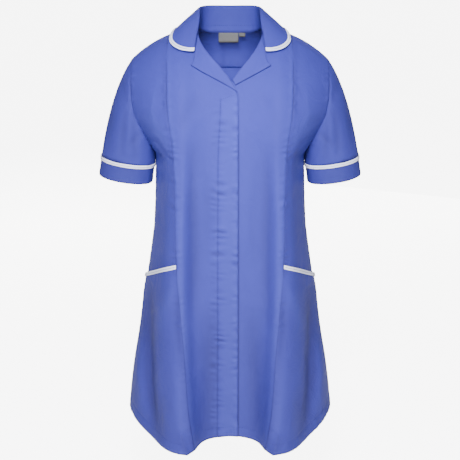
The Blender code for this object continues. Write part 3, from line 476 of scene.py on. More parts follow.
def soft_copy(name, cad_node, levels):
    """The node's mesh as smooth cloth, with its walls' edges kept."""
    mesh = bmesh.new()
    mesh.from_mesh(frame["nodes"][cad_node].data)
    bmesh.ops.remove_doubles(mesh, verts=mesh.verts, dist=MERGE)
    bmesh.ops.join_triangles(
        mesh, faces=mesh.faces, cmp_seam=False, cmp_sharp=False, cmp_uvs=False, cmp_vcols=False,
        cmp_materials=False, angle_face_threshold=JOIN_FLAT, angle_shape_threshold=JOIN_SQUARE)
    tall = []
    for edge in mesh.edges:
        rise = abs(edge.verts[0].co.z - edge.verts[1].co.z)
        if rise > max(TALL, UPRIGHT * edge.calc_length()):
            tall.append(edge)
    bmesh.ops.subdivide_edges(mesh, edges=tall, cuts=1)
    crease = mesh.edges.layers.float.new("crease_edge")
    for edge in mesh.edges:
        if len(edge.link_faces) == 2 and edge.calc_face_angle() > SHARP:
            edge[crease] = 1.0
    data = bpy.data.meshes.new(name)
    mesh.to_mesh(data)
    mesh.free()
    piece = add_object(name, data)
    rounded = piece.modifiers.new("round", "SUBSURF")
    rounded.levels = levels
    rounded.render_levels = levels
    graph = bpy.context.evaluated_depsgraph_get()
    dense = bpy.data.meshes.new_from_object(piece.evaluated_get(graph), depsgraph=graph)
    piece.modifiers.clear()
    piece.data = dense
    dense.name = name
    bpy.data.meshes.remove(data)
    smooth_faces(dense)
    return piece


def points_of(piece, what="co"):
    """The piece's points as an array, or its normals."""
    flat = np.empty(len(piece.data.vertices) * 3)
    piece.data.vertices.foreach_get(what, flat)
    return flat.reshape(-1, 3)


def set_points(piece, points):
    piece.data.vertices.foreach_set("co", points.reshape(-1))
    piece.data.update()


# %% [markdown]
# ## Distance to the edge
#
# Cloth looks sewn by what happens within a few millimetres of a seam: the allowance underneath lifts
# it, and the thread puckers it. So each point gets its distance to the nearest edge of its panel,
# and the way that edge runs, from a search tree.

# %% Measure the distance to the edge
RIM_REACH = 0.030


def search_tree(spots):
    tree = KDTree(len(spots))
    for i, spot in enumerate(spots):
        tree.insert(spot, i)
    tree.balance()
    return tree


def panel_edges(piece):
    """The number and place of both ends of each edge where the panel turns sharply."""
    mesh = bmesh.new()
    mesh.from_mesh(piece.data)
    found = []
    for edge in mesh.edges:
        if len(edge.link_faces) == 2 and edge.calc_face_angle() > SHARP:
            found.append([(v.index, v.co.copy()) for v in edge.verts])
    mesh.free()
    return found


def steepness(a, b):
    """1 for an edge that runs straight up, 0 for a level one."""
    return abs(a.z - b.z) / max((a - b).length, 1e-9)


def measure_rim(piece):
    """For each point, the distance to its panel's edge and how upright that edge runs."""
    ends = [(a, b) for (_, a), (_, b) in panel_edges(piece)]
    tree = search_tree([(a + b) / 2 for a, b in ends])
    points = points_of(piece)
    distance = np.full(len(points), RIM_REACH)
    rising = np.zeros(len(points))
    for k, point in enumerate(points):
        _, i, d = tree.find(point)
        if d < RIM_REACH:
            distance[k] = d
            rising[k] = steepness(*ends[i])
    return distance, rising


def give_attribute(piece, name, values):
    layer = piece.data.attributes.new(name, "FLOAT", "POINT")
    layer.data.foreach_set("value", np.clip(values, 0.0, 1.0).astype(np.float32))


# %% [markdown]
# ## Which way is out
#
# A fold moves both walls of a panel the same way, so the cloth keeps its thickness. The way out comes
# from an oval round the body, or from the arm's axis for a sleeve. Cut coordinates are metres of
# cloth, so the angle round the body, arm or neck is multiplied by a middling radius.

# %% Directions and cut coordinates
BODY_OVAL = (0.20, 0.15)
BODY_RADIUS = 0.17
ARM_RADIUS = 0.055
NECK_RADIUS = 0.085
ARM_AXIS = (0.135, 0.0, -0.128), (0.205, 0.0, -0.290)


def side_of(cad_node):
    """1 on the wearer's left, which is +X."""
    return 1 if cad_node.endswith("left") else -1


def unit_rows(rows):
    return rows / np.maximum(np.linalg.norm(rows, axis=1), 1e-9)[:, None]


def body_out(points):
    out = np.zeros((len(points), 3))
    for k in range(2):
        out[:, k] = points[:, k] / BODY_OVAL[k] ** 2
    return unit_rows(out)


def arm_frame(side):
    start = np.array(ARM_AXIS[0]) * (side, 1, 1)
    end = np.array(ARM_AXIS[1]) * (side, 1, 1)
    return start, (end - start) / np.linalg.norm(end - start)


def arm_out(points, side):
    start, axis = arm_frame(side)
    away = points - start
    away -= (away @ axis)[:, None] * axis
    return unit_rows(away)


def body_cut(points, behind):
    """Cut coordinates of a body panel: round the body and down it."""
    x, y, z = points.T
    return np.stack([np.arctan2(x, y if behind else -y) * BODY_RADIUS, z], axis=1)


def arm_cut(points, side):
    start, axis = arm_frame(side)
    away = points - start
    down = away @ axis
    away = away - down[:, None] * axis
    angle = np.arctan2(away[:, 1], away[:, 0] * side)
    return np.stack([angle * ARM_RADIUS, down], axis=1)


def neck_cut(points):
    x, y, z = points.T
    return np.stack([np.arctan2(x, y) * NECK_RADIUS, np.hypot(x, y) - z], axis=1)


def cut_of(cad_node, kind, side, points):
    if "collar" in cad_node:
        return neck_cut(points)
    if kind == "sleeve" or "cuff" in cad_node:
        return arm_cut(points, side)
    return body_cut(points, kind in ("back", "label"))


def give_cut(piece, coordinates):
    """Writes cut coordinates as the piece's UV map."""
    layer = piece.data.uv_layers.new(name="cut")
    loops = np.empty(len(piece.data.loops), dtype=np.int32)
    piece.data.loops.foreach_get("vertex_index", loops)
    layer.data.foreach_set("uv", coordinates[loops].reshape(-1).astype(np.float32))


# %% [markdown]
# ## Uneven ripples
#
# Puckers aren't regular: some stand high and the next are missing. A sine whose phase and height
# wander gives that, the same on each run. A bell and a ramp say where a shape is strong and where it
# dies out.

# %% Ripples along a seam
def bell(away, reach):
    """1 where `away` is nothing, fading to almost nothing at twice the reach."""
    return np.exp(-((away / reach) ** 2))


def ramp(value):
    return np.clip(value, 0, 1)


def ripple(t, length):
    """Uneven waves about `length` long, from -1 to 1."""
    turn = 2 * math.pi * t / length
    wander = 1.9 * np.sin(turn / 4.3 + 0.7) + 1.1 * np.sin(turn / 9.1 + 2.1)
    swell = 0.55 + 0.30 * np.sin(turn / 6.7 + 1.3) + 0.25 * np.sin(turn / 2.9 + 0.4)
    return np.sin(turn + wander) * np.clip(swell, 0.05, 1.0)


FOLD_FADE = 0.6


def run_along(path):
    """The length of each step of a path, and how far along each of its points lies."""
    lengths = np.linalg.norm(np.diff(path, axis=0), axis=1)
    return lengths, np.concatenate([[0], np.cumsum(lengths)])


def trough(points, path, width, depth):
    """Depth of a soft trough along a path of x and z, wide at its middle and fading at its ends."""
    spot = points[:, [0, 2]]
    best = np.full(len(spot), 1e9)
    share = np.zeros(len(spot))
    lengths, run = run_along(path)
    for i in range(len(path) - 1):
        a, step = path[i], path[i + 1] - path[i]
        t = np.clip(((spot - a) @ step) / max(step @ step, 1e-12), 0, 1)
        d = np.linalg.norm(spot - (a + t[:, None] * step), axis=1)
        closer = d < best
        best = np.where(closer, d, best)
        share = np.where(closer, (run[i] + t * lengths[i]) / run[-1], share)
    fade = ramp(np.sin(math.pi * ramp(share))) ** FOLD_FADE
    return depth * fade * bell(best, width)


# %% [markdown]
# ## The folds of the front
#
# The cloth is tight over the bust and hangs free below it. Short drag lines run from the shoulders,
# two valleys start under the bust, and the skirt falls in flutes. Each row is one soft fold, in
# millimetres: its path in x and z, its width and its depth. A negative depth stands proud. The two
# sides differ a little, as worn.

# %% Fold tables
FRONT_FOLDS = [
    # path in x and z, width, depth
    ([(-71, -205), (-74, -300), (-70, -420), (-76, -560)], 13, 3.8),
    ([(70, -210), (73, -310), (71, -430), (77, -575)], 13, 3.6),
    ([(-86, -230), (-90, -360), (-89, -520), (-84, -640)], 9, -3),
    ([(87, -235), (91, -370), (88, -500), (83, -630)], 9, -2.8),
    ([(-124, -75), (-131, -105), (-143, -130)], 5, 0.8),
    ([(122, -70), (131, -104), (142, -126)], 5, 0.7),
    ([(-122, -100), (-130, -140), (-139, -172)], 6, 0.9),
    ([(121, -104), (130, -146), (139, -170)], 6, 0.8),
    ([(-145, -110), (-151, -150), (-147, -185)], 6, -1.2),
    ([(146, -112), (151, -154), (147, -182)], 6, -1.2),
    ([(-58, -110), (-82, -150), (-98, -180)], 10, 1.2),
    ([(60, -114), (81, -152), (96, -186)], 10, 1),
    ([(-50, -235), (-42, -330), (-46, -450)], 11, 1.6),
    ([(52, -245), (45, -350), (47, -470)], 11, 1.5),
    ([(-146, -205), (-128, -232), (-110, -246)], 6, 1.4),
    ([(147, -203), (129, -234), (111, -250)], 6, 1.3),
    ([(-103, -456), (-115, -500), (-132, -540), (-142, -590)], 11, -3),
    ([(104, -458), (116, -502), (132, -538), (142, -585)], 11, -2.8),
    ([(-160, -500), (-166, -600), (-164, -690), (-145, -800)], 12, 7.2),
    ([(161, -505), (166, -610), (164, -700), (147, -800)], 12, 6.4),
    ([(-184, -620), (-184, -690), (-176, -770)], 8, -2),
    ([(184, -630), (184, -695), (177, -775)], 8, -2),
    ([(-101, -500), (-106, -560), (-100, -620)], 8, 1.8),
    ([(102, -505), (106, -566), (101, -630)], 8, 1.6),
    ([(-136, -700), (-138, -760), (-140, -815)], 9, 2.2),
    ([(137, -690), (139, -755), (141, -815)], 9, 2),
    ([(-104, -640), (-98, -720), (-92, -800)], 12, -2),
    ([(105, -650), (99, -725), (93, -800)], 12, -1.8),
    ([(-36, -520), (-40, -640), (-46, -860)], 18, 4),
    ([(45, -530), (49, -650), (54, -860)], 18, 3.8),
]
# Both the front and the back follow these, so the side seams stay closed.
SIDE_FOLDS = [
    ([(-150, -215), (-148, -300), (-146, -390)], 20, -2.4),
    ([(150, -215), (148, -300), (146, -390)], 20, -2.4),
]
BACK_FOLDS = [
    ([(-120, -80), (-90, -140), (-70, -210)], 12, 3),
    ([(122, -85), (92, -146), (71, -220)], 12, 2.7),
    ([(-146, -190), (-110, -240), (-80, -260)], 10, 3),
    ([(147, -195), (112, -238), (79, -270)], 10, 2.9),
    ([(-30, -60), (-38, -200), (-32, -360)], 13, 2.3),
    ([(34, -70), (40, -210), (36, -380)], 13, 2.1),
    ([(-90, -280), (-86, -400), (-94, -540)], 10, 3.4),
    ([(88, -290), (86, -410), (92, -560)], 11, 3.2),
    ([(-12, -420), (-6, -560), (-14, -800)], 16, 2.7),
    ([(60, -480), (66, -620), (70, -800)], 14, -2.3),
    ([(-62, -500), (-66, -640), (-70, -800)], 14, -2.3),
    ([(120, -520), (126, -640), (132, -800)], 12, 2.7),
    ([(-122, -500), (-128, -650), (-134, -800)], 12, 2.9),
    ([(-12, -26), (-13, -58), (-12, -100)], 5, 1.6),
]


def folds_at(points, table):
    """How deep the folds of a table press the cloth in."""
    sunk = np.zeros(len(points))
    for path, width, depth in table:
        sunk += trough(points, np.array(path) / 1000, width / 1000, depth / 1000)
    return sunk


print("folds", len(FRONT_FOLDS), "in front and", len(BACK_FOLDS), "behind")

# %% [markdown]
# ## The concealed front
#
# The front that laps over has a turned facing, held by a row of stitches 33 to 41 mm from its edge.
# The thread pulls short level puckers into the strip, in clusters where the fastenings behind it
# catch. The strip stands up slightly, being four cloths thick.

# %% Shape the lapped front
LAP_EDGE_X = 0.0155
FLY_TOP = -0.117
FLY_ROW = [
    # height, x of the stitch row
    (-0.112, -0.0175), (-0.150, -0.0185), (-0.240, -0.0230), (-0.400, -0.0240), (-0.560, -0.0245),
    (-0.700, -0.0250), (-0.815, -0.0255),
]
FLY_CLUSTERS = [
    # height, reach up and down, strength
    (-0.178, 0.018, 0.6), (-0.307, 0.022, 1.0), (-0.381, 0.018, 0.9), (-0.437, 0.020, 0.9),
    (-0.520, 0.016, 0.4), (-0.596, 0.018, 0.9), (-0.650, 0.012, 0.7), (-0.740, 0.018, 0.4),
]
FLY_CALM = 0.42
FLY_FADE = 0.02
FLY_SLANT = 0.12
PAST_EDGE = 1.3
GROOVE_DEPTH = 0.0007
GROOVE_REACH = 0.0016
CUSHION_HEIGHT = 0.0009


def fly_row_x(heights):
    table = sorted(FLY_ROW)
    return np.interp(heights, [h for h, _ in table], [x for _, x in table])


def fly_shape(points):
    """How far the cloth moves out: puckers beside the row, by the lapped edge and outside."""
    x, _, z = points.T
    row = fly_row_x(z)
    share = (x - row) / (LAP_EDGE_X - row)
    on_strip = ramp(share) * (share < PAST_EDGE)
    below = ramp((FLY_TOP - z) / FLY_FADE)
    level = FLY_CALM + sum(s * bell(z - h, r) for h, r, s in FLY_CLUSTERS)
    slant = z + FLY_SLANT * (x - row)
    puckers = 0.00150 * ripple(slant, 0.0150) * level * bell(x - row - 0.007, 0.011)
    by_edge = bell(x - LAP_EDGE_X + 0.005, 0.009)
    puckers += 0.00130 * ripple(slant + 0.31, 0.023) * ramp(level) * by_edge
    groove = -GROOVE_DEPTH * bell(x - row, GROOVE_REACH)
    cushion = CUSHION_HEIGHT * np.sin(math.pi * on_strip)
    outside = 0.00080 * ripple(slant + 0.12, 0.016) * level * bell(x - row + 0.008, 0.007)
    return below * (puckers + groove + cushion + outside)


print("the row of stitches is", [round(LAP_EDGE_X - x, 4) for _, x in FLY_ROW], "from the edge")

# %% [markdown]
# ## Seams and the hem
#
# Beside a seam the allowance inside makes a low ridge, and the thread gathers fine puckers across it.
# The hem is turned up 20 mm and stitched, so a faint line runs round it, with puckers down to the
# fold.

# %% Shape seams and hem
HEM_TURN = 0.020
HEM_ABOVE = -0.70
HEM_PULL = 0.00065
HEM_PUCKER = 0.021
LEVEL_ENOUGH = 0.6
RIDGE_PLACE = 0.0045
RIDGE_REACH = 0.004
RIDGE_HEIGHT = 0.00045
EDGE_DIP = 0.0006
EDGE_DIP_REACH = 0.0014
PULL_DEPTH = 0.00085
PULL_REACH = 0.011
PULL_START = 0.004
LEVEL_PUCKER = 0.0165
UPRIGHT_PUCKER = 0.0175


def seam_shape(points, distance, rising, strength):
    """Ridge and puckers beside a panel's edges."""
    ridge = RIDGE_HEIGHT * bell(distance - RIDGE_PLACE, RIDGE_REACH)
    ridge -= EDGE_DIP * bell(distance, EDGE_DIP_REACH)
    x, y, z = points.T
    level = ripple(z, LEVEL_PUCKER)
    upright = ripple(x + 0.7 * y, UPRIGHT_PUCKER)
    pull = (rising * level + (1 - rising) * upright) * PULL_DEPTH * bell(distance, PULL_REACH)
    return ridge + strength * pull * ramp(distance / PULL_START)


def hem_lines(points, distance_to_hem):
    """The stitched line above the hem, and the pull of its thread."""
    line = -GROOVE_DEPTH * bell(distance_to_hem - HEM_TURN, GROOVE_REACH)
    band = bell(distance_to_hem - HEM_TURN * 0.6, 0.013)
    x, y, z = points.T
    return line + HEM_PULL * band * ripple(x + 0.7 * y + 0.35 * z, HEM_PUCKER)


def distance_to_line(points, line):
    tree = search_tree(line)
    return np.array([tree.find(p)[2] for p in points])


def lowest_edge(piece, above):
    """Middles of the piece's nearly level edges that lie lower than `above`."""
    spots = []
    for (_, a), (_, b) in panel_edges(piece):
        if steepness(a, b) < LEVEL_ENOUGH and max(a.z, b.z) < above:
            spots.append((a + b) / 2)
    return spots


# %% [markdown]
# ## Sew the panels
#
# Each row names a solid to dress, the kind of shaping, how finely it is divided, the finish, and the
# size and area of the cloth that shows. Braces stand for right and left in turn. The piece is called
# after the solid, with cloth or tape at the end.

# %% The list of pieces
def both_sides(*names):
    """The names for the right and for the left, or once where none of them leaves room for a side."""
    return list(dict.fromkeys(tuple(n.format(side) for n in names) for side in ("right", "left")))


PIECE_ROWS = [
    # solid, kind, levels, slot, flat width, flat length, flat area
    ("front_right", "front", 3, "cloth", 0.155, 0.840, 0.1016),
    ("front_left", "front", 3, "cloth", 0.160, 0.840, 0.1042),
    ("side_front_{}", "front", 3, "cloth", 0.170, 0.700, 0.0862),
    ("pocket_front_{}", "front", 3, "cloth", 0.235, 0.375, 0.0709),
    ("back", "back", 2, "cloth", 0.620, 0.840, 0.3726),
    ("back_neck_facing", "back", 2, "cloth", 0.330, 0.130, 0.0319),
    ("sleeve_{}", "sleeve", 2, "cloth", 0.400, 0.150, 0.0369),
    ("cuff_{}", "sleeve", 3, "cloth", 0.340, 0.0394, 0.0134),
    ("collar", "collar", 2, "cloth", 0.560, 0.095, 0.0399),
    ("lapel_right", "lapel", 3, "cloth", 0.055, 0.115, 0.0034),
    ("lapel_left", "lapel", 3, "cloth", 0.055, 0.115, 0.0030),
    ("collar_braid", "tape", 3, "braid", 0.590, 0.010, 0.0046),
    ("pocket_braid_{}", "tape", 3, "braid", 0.010, 0.196, 0.0016),
    ("cuff_braid_{}", "tape", 3, "braid", 0.381, 0.010, 0.0027),
    ("label", "label", 2, "label", 0.040, 0.020, 0.0008),
    ("size_tab", "label", 2, "label", 0.0124, 0.010, 0.0001),
]
PIECES = [(*found, *rest) for solid, *rest in PIECE_ROWS for found in both_sides(solid)]
SLOT_FINISH = {"cloth": "blue_polycotton", "braid": "white_braid", "label": "grey_label"}
print("pieces to sew", len(PIECES))

# %% [markdown]
# ## The middle of a braid
#
# The braid is sewn on by one row along its middle, which is found from the tape itself: the outer
# points furthest from its edges, in order round the neck, the arm or the pocket.

# %% Middles of the tapes
TAPE_PINCH = 0.84
MIDDLE_STEP = 0.0005
FACES_OUT = 0.2
DEEP_INSIDE = 0.62
TAPE_MARKS = {"collar": 150, "pocket": 46, "cuff": 90}


def even_steps(path, step):
    """Points along a path at even steps."""
    path = np.asarray(path, float)
    _, run = run_along(path)
    marks = np.arange(step / 2, run[-1], step)
    return np.stack([np.interp(marks, run, path[:, k]) for k in range(3)], axis=1)


def tape_middle(piece, cad_node):
    """Points along the middle of a braid, in order round the neck, the body or the arm."""
    points = points_of(piece)
    side = side_of(cad_node)
    outward = body_out(points)
    if "collar" in cad_node:
        outward = outward * 0.7 + np.array((0.0, 0.0, 0.7))
    if "cuff" in cad_node:
        outward = arm_out(points, side)
    distance, _ = measure_rim(piece)
    facing = (points_of(piece, "normal") * outward).sum(axis=1) > FACES_OUT
    inside = facing & (distance > DEEP_INSIDE * np.percentile(distance[facing], 98))
    chosen = points[inside]
    key = cut_of(cad_node, "tape", side, chosen)[:, 0]
    bins = TAPE_MARKS[cad_node.split("_")[0]]
    edges = np.linspace(key.min(), key.max(), bins + 1)
    which = np.clip(np.digitize(key, edges) - 1, 0, bins - 1)
    return np.array([chosen[which == k].mean(axis=0) for k in range(bins) if (which == k).any()])


def pinch(piece, points, cad_node):
    """Sewn braid is pulled a little narrower than it is woven."""
    tree = search_tree(even_steps(tape_middle(piece, cad_node), MIDDLE_STEP))
    centre = np.array([tree.find(p)[0] for p in points])
    return centre + (points - centre) * TAPE_PINCH


# %% [markdown]
# ## What single pieces need
#
# Soft lines fall down the sleeve, whose lower inside rests near the body. A highlight is painted on
# the side panel beside the arm, a shadow is painted on the cloth by the lapped edge, and the collar
# hides its own seam. Sleeves and cuffs have a deeper tone, which stands for light that falls off to
# the sides.

# %% Shapes and tones of single pieces
SLEEVE_LEAN = 0.0018
SLEEVE_LEAN_TOP = -0.195
SLEEVE_LEAN_FADE = 0.035
SLEEVE_TONE = -0.07
CUFF_TONE = -0.20
SLEEVE_FOLDS = [
    # millimetres: path of distance from the middle and height, width, depth
    ([(232, -115), (238, -180), (243, -240)], 7.5, 1.6),
    ([(204, -150), (211, -205), (213, -252)], 6.5, 2.1),
    ([(188, -160), (189, -215), (187, -258)], 6, 1.7),
    ([(166, -188), (186, -212), (206, -228)], 6, 1.5),
    ([(215, -85), (208, -120), (196, -150)], 7, 1.2),
]
BACK_OF_SLEEVE_SHIFT = (0.009, 0.0, 0.012)
SLEEVE_CALM = 0.020
# A painted highlight on the side panel beside the lower armhole.
ARM_HIGHLIGHT_PLACE = (0.150, -0.200)
ARM_HIGHLIGHT_REACH = 0.036
ARM_HIGHLIGHT_TONE = 0.26
LAP_SHADE_PLACE = 0.0008
LAP_SHADE_REACH = 0.0016
LAP_SHADE_TOP = -0.115
LAP_SHADE_RUN = 0.14
STAND_OVAL = (0.0645, 0.048)
STAND_EDGE = 1.16
STAND_SIDE_ANGLE = 84
STAND_SIDE_REACH = 19
DROP_BEHIND = 0.0028
DROP_BESIDE = 0.0058


def sleeve_lean(points, side):
    """The lower inside of the sleeve rests close to the body."""
    inward = ramp(-arm_out(points, side)[:, 0] * side) ** 2
    low = ramp((SLEEVE_LEAN_TOP - points[:, 2]) / SLEEVE_LEAN_FADE)
    return -side * SLEEVE_LEAN * inward * low


def sleeve_folds(points, side):
    """Soft lines that fall from the armhole towards the cuff, a little further out at the back."""
    place = points * (side, 1.0, 1.0)
    behind = points[:, 1:2] > 0
    place = place + behind * np.array(BACK_OF_SLEEVE_SHIFT)
    return folds_at(place, SLEEVE_FOLDS) * ramp(abs(points[:, 1]) / SLEEVE_CALM)


def arm_rub(points):
    """A highlight painted on the side panel beside the lower armhole."""
    x, _, z = points.T
    across = abs(x) - ARM_HIGHLIGHT_PLACE[0]
    up = z - ARM_HIGHLIGHT_PLACE[1]
    return ARM_HIGHLIGHT_TONE * np.exp(-((across ** 2 + up ** 2) / ARM_HIGHLIGHT_REACH ** 2))


def lap_shade(points):
    """Painted shadow on the cloth beside the lapped edge, darkest low down."""
    x, _, z = points.T
    beside = bell(x - LAP_EDGE_X - LAP_SHADE_PLACE, LAP_SHADE_REACH)
    lower = ramp((LAP_SHADE_TOP - z) / LAP_SHADE_RUN)
    return -(0.15 + 0.40 * lower) * beside * (z < LAP_SHADE_TOP)


def neck_seam_drop(points):
    """The collar's stand reaches a little below its seam and hides it, most so at the sides."""
    x, y, z = points.T
    reach = np.hypot(x / STAND_OVAL[0], y / STAND_OVAL[1])
    angle = np.degrees(np.arctan2(abs(x), y))
    inner = ramp((STAND_EDGE - reach) / 0.05)
    behind = inner * ramp((y - 0.004) / 0.012) * ramp((0.002 - z) / 0.010)
    at_side = bell(angle - STAND_SIDE_ANGLE, STAND_SIDE_REACH)
    beside = inner * ramp((0.012 - z) / 0.010) * at_side
    down = -DROP_BEHIND * behind - DROP_BESIDE * beside
    return np.stack([-0.0012 * beside * np.sign(x), -0.0016 * behind, down], axis=1)


print("sleeve folds", len(SLEEVE_FOLDS))

# %% [markdown]
# ## Shape each piece
#
# Folds, ripples and ridges add up to one move along the way out. A second sum, the shade, is painted
# into the colour: a highlight on ridges, crests and the front panels' edges, and shade in troughs,
# hollows and beside the side panels' edges. A panel is calm near the side seam, so that front and
# back still meet.

# %% Move and shade of each kind of piece
SIDE_CALM = 0.022
SIDE_CALM_START = 0.002
FOLD_SHADE = 0.30
FOLD_FULL = 0.0045
EDGE_HIGHLIGHT = 0.12
EDGE_HIGHLIGHT_PLACE = 0.005
EDGE_SHADE = 0.16
EDGE_SHADE_REACH = 0.009
PUCKER_SHADE = 0.32
PUCKER_FULL = 0.0012
FACING_LOWER = -0.070
FACING_RIDGE = 0.0012
FACING_RIDGE_REACH = 0.007
TAPE_SWELL = 0.00040
TAPE_SINK = 0.0007
TAPE_GROOVE_SHADE = 0.75
STITCHED_MIDDLE = 0.66
STITCHED_FADE = 0.20
SLEEVE_PULL = 0.8
SOFT_SEAMS = {"collar": (0.5, 0.4), "lapel": (0.4, 0.5)}


def shape_body(piece, cad_node, kind, points, distance, rising):
    """A body panel: its folds, its seams, and what is special to it."""
    calm = ramp((abs(points[:, 1]) - SIDE_CALM_START) / SIDE_CALM)
    move = -calm * folds_at(points, FRONT_FOLDS if kind == "front" else BACK_FOLDS)
    move -= folds_at(points, SIDE_FOLDS)
    # Painted shade in the folds' troughs and a painted highlight on their ridges.
    shade = FOLD_SHADE * np.clip(move / FOLD_FULL, -1.0, 0.6)
    move += seam_shape(points, distance, rising, 0.3 + 1.4 * calm)
    # A painted highlight along the front panels' edges, and painted shade along the side panels'
    # edges.
    if cad_node in ("front_right", "front_left"):
        shade += EDGE_HIGHLIGHT * rising * calm * bell(distance - EDGE_HIGHLIGHT_PLACE, EDGE_HIGHLIGHT_PLACE)
    elif kind == "front":
        shade -= EDGE_SHADE * rising * calm * bell(distance, EDGE_SHADE_REACH)
    # Painted highlight beside the lower armhole.
    if cad_node.startswith("side_front"):
        shade += arm_rub(points)
    if cad_node == "back_neck_facing":
        lower = distance_to_line(points, lowest_edge(piece, FACING_LOWER))
        move += FACING_RIDGE * ramp(1 - lower / FACING_RIDGE_REACH)
    if cad_node == "front_right":
        fly = fly_shape(points)
        move += fly
        # Painted shade in the puckers' hollows and a painted highlight on their crests.
        shade += PUCKER_SHADE * np.clip(fly / PUCKER_FULL, -1.0, 0.5)
    # Painted shadow beside the lapped edge.
    if cad_node == "front_left":
        shade += lap_shade(points)
    if cad_node.startswith(("front", "pocket")) or cad_node == "back":
        move += hem_lines(points, distance_to_line(points, lowest_edge(piece, HEM_ABOVE)))
    return move, shade


def shape_sleeve(cad_node, side, points, distance, rising):
    """A sleeve with its soft lines, or a cuff."""
    move = seam_shape(points, distance, rising, SLEEVE_PULL)
    if cad_node.startswith("cuff"):
        return move, np.full(len(points), CUFF_TONE)
    folds = sleeve_folds(points, side)
    # Painted shade in the sleeve's soft lines, on top of the sleeve's deeper tone.
    return move - folds, SLEEVE_TONE - FOLD_SHADE * ramp(folds / FOLD_FULL)


def shape_tape(distance, half):
    """A braid: plump, with its middle sunk by the row of stitches and painted shade in that groove."""
    across = ramp(distance / half)
    middle = ramp((across - STITCHED_MIDDLE) / STITCHED_FADE)
    return TAPE_SWELL * np.sin(across * math.pi / 2) - TAPE_SINK * middle ** 2, -TAPE_GROOVE_SHADE * middle


def shape_piece(piece, cad_node, kind, side, points, distance, rising, half):
    """How far each point moves out, and how much highlight or shade is painted into its colour."""
    if kind in ("front", "back"):
        return shape_body(piece, cad_node, kind, points, distance, rising)
    if kind == "sleeve":
        return shape_sleeve(cad_node, side, points, distance, rising)
    if kind == "tape":
        return shape_tape(distance, half)
    if kind in SOFT_SEAMS:
        share, strength = SOFT_SEAMS[kind]
        return share * seam_shape(points, distance, rising, strength), np.zeros(len(points))
    return np.zeros(len(points)), np.zeros(len(points))


def way_out(piece, kind, side, points):
    if kind in ("front", "back", "collar"):
        return body_out(points)
    if kind == "sleeve":
        return arm_out(points, side)
    if kind == "lapel":
        return np.tile((0.0, -1.0, 0.0), (len(points), 1))
    return points_of(piece, "normal")


# %% Shape each piece
# Painted shade along the edges of panels and braids reaches this far; the neck facing gets none.
RIM_SHADE_REACH = 0.0021
TAPE_RIM_SHADE_REACH = 0.0008
pieces = {}
for cad_node, kind, levels, slot, wide, long, area in PIECES:
    name = cad_node + ("_cloth" if slot == "cloth" else "_tape")
    piece = soft_copy(name, cad_node, levels)
    side = side_of(cad_node)
    points = points_of(piece)
    distance, rising = measure_rim(piece)
    if kind == "collar":
        points = points + neck_seam_drop(points)
    half = min(wide, long) / 2
    move, shade = shape_piece(piece, cad_node, kind, side, points, distance, rising, half)
    out = way_out(piece, kind, side, points)
    give_cut(piece, cut_of(cad_node, kind, side, points))
    if kind == "tape":
        points = pinch(piece, points, cad_node)
    if "sleeve" in cad_node or "cuff" in cad_node:
        points = points + sleeve_lean(points, side)[:, None] * (1.0, 0.0, 0.0)
    set_points(piece, points + out * move[:, None])
    rim = distance / (TAPE_RIM_SHADE_REACH if kind == "tape" else RIM_SHADE_REACH)
    give_attribute(piece, "rim", np.ones(len(points)) if cad_node == "back_neck_facing" else rim)
    give_attribute(piece, "painted_light", 0.5 + shade)
    piece.data.materials.clear()
    piece.data.materials.append(materials[SLOT_FINISH[slot]])
    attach(piece, "root")
    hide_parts(cad_node)
    pieces[cad_node] = piece
    most = round(float(abs(move).max()) * 1000, 2)
    print(name, len(piece.data.polygons), "faces, moved", most, "mm")

# %% [markdown]
# ## Close the seams
#
# Each panel was rounded by itself, so two edges that are sewn together may stand a little apart, and
# light would show through. Each edge point goes half the way to the other panel's edge and a hair
# more, square to the seam, and the cloth beside it follows with a soft fade.

# %% Draw the sewn edges together
SEWN_ROWS = [
    ("front_{}", "side_front_{}"), ("front_{}", "pocket_front_{}"), ("side_front_{}", "back"),
    ("pocket_front_{}", "back"), ("front_{}", "back"), ("sleeve_{}", "side_front_{}"),
    ("sleeve_{}", "back"), ("sleeve_{}", "cuff_{}"),
]
SEWN = [pair for names in SEWN_ROWS for pair in both_sides(*names)]
SEAM_REACH = 0.0060
SEAM_OVERLAP = 0.00025
SEAM_FADE = 0.010
SEAM_FADE_ENDS = 3 * SEAM_FADE


def edge_points(piece):
    """Points of the panel's edges and the way each edge runs."""
    spots = {}
    for ends in panel_edges(piece):
        (_, a), (_, b) = ends
        if (a - b).length > 1e-9:
            for number, place in ends:
                spots.setdefault(number, (place, (a - b).normalized()))
    return list(spots.values())


edges_of = {n: edge_points(pieces[n]) for pair in SEWN for n in pair}
trees_of = {n: search_tree([spot for spot, _ in spots]) for n, spots in edges_of.items()}
for cad_node, spots in edges_of.items():
    partners = [b if a == cad_node else a for a, b in SEWN if cad_node in (a, b)]
    shift = np.zeros((len(spots), 3))
    for i, (spot, run) in enumerate(spots):
        nearest = min((trees_of[p].find(spot) for p in partners), key=lambda found: found[2])
        if nearest[2] < SEAM_REACH:
            apart = nearest[0] - spot
            apart -= apart.dot(run) * run
            if apart.length > 1e-6:
                shift[i] = apart * 0.5 * (1 + SEAM_OVERLAP / apart.length)
    points = points_of(pieces[cad_node])
    own = trees_of[cad_node]
    for k, spot in enumerate(points):
        _, i, d = own.find(spot)
        if d < SEAM_FADE_ENDS:
            points[k] += shift[i] * math.exp(-((d / SEAM_FADE) ** 2))
    set_points(pieces[cad_node], points)
    most = round(float(np.linalg.norm(shift, axis=1).max()) * 1000, 2)
    print(cad_node, "edges drawn in by up to", most, "mm")

# %% [markdown]
# ## Thread
#
# A lockstitch shows as a row of short, plump dashes that sink a little into the cloth. One dash is
# an icosphere stretched along the row, and the row's points are found by rays that meet the
# finished cloth from outside.

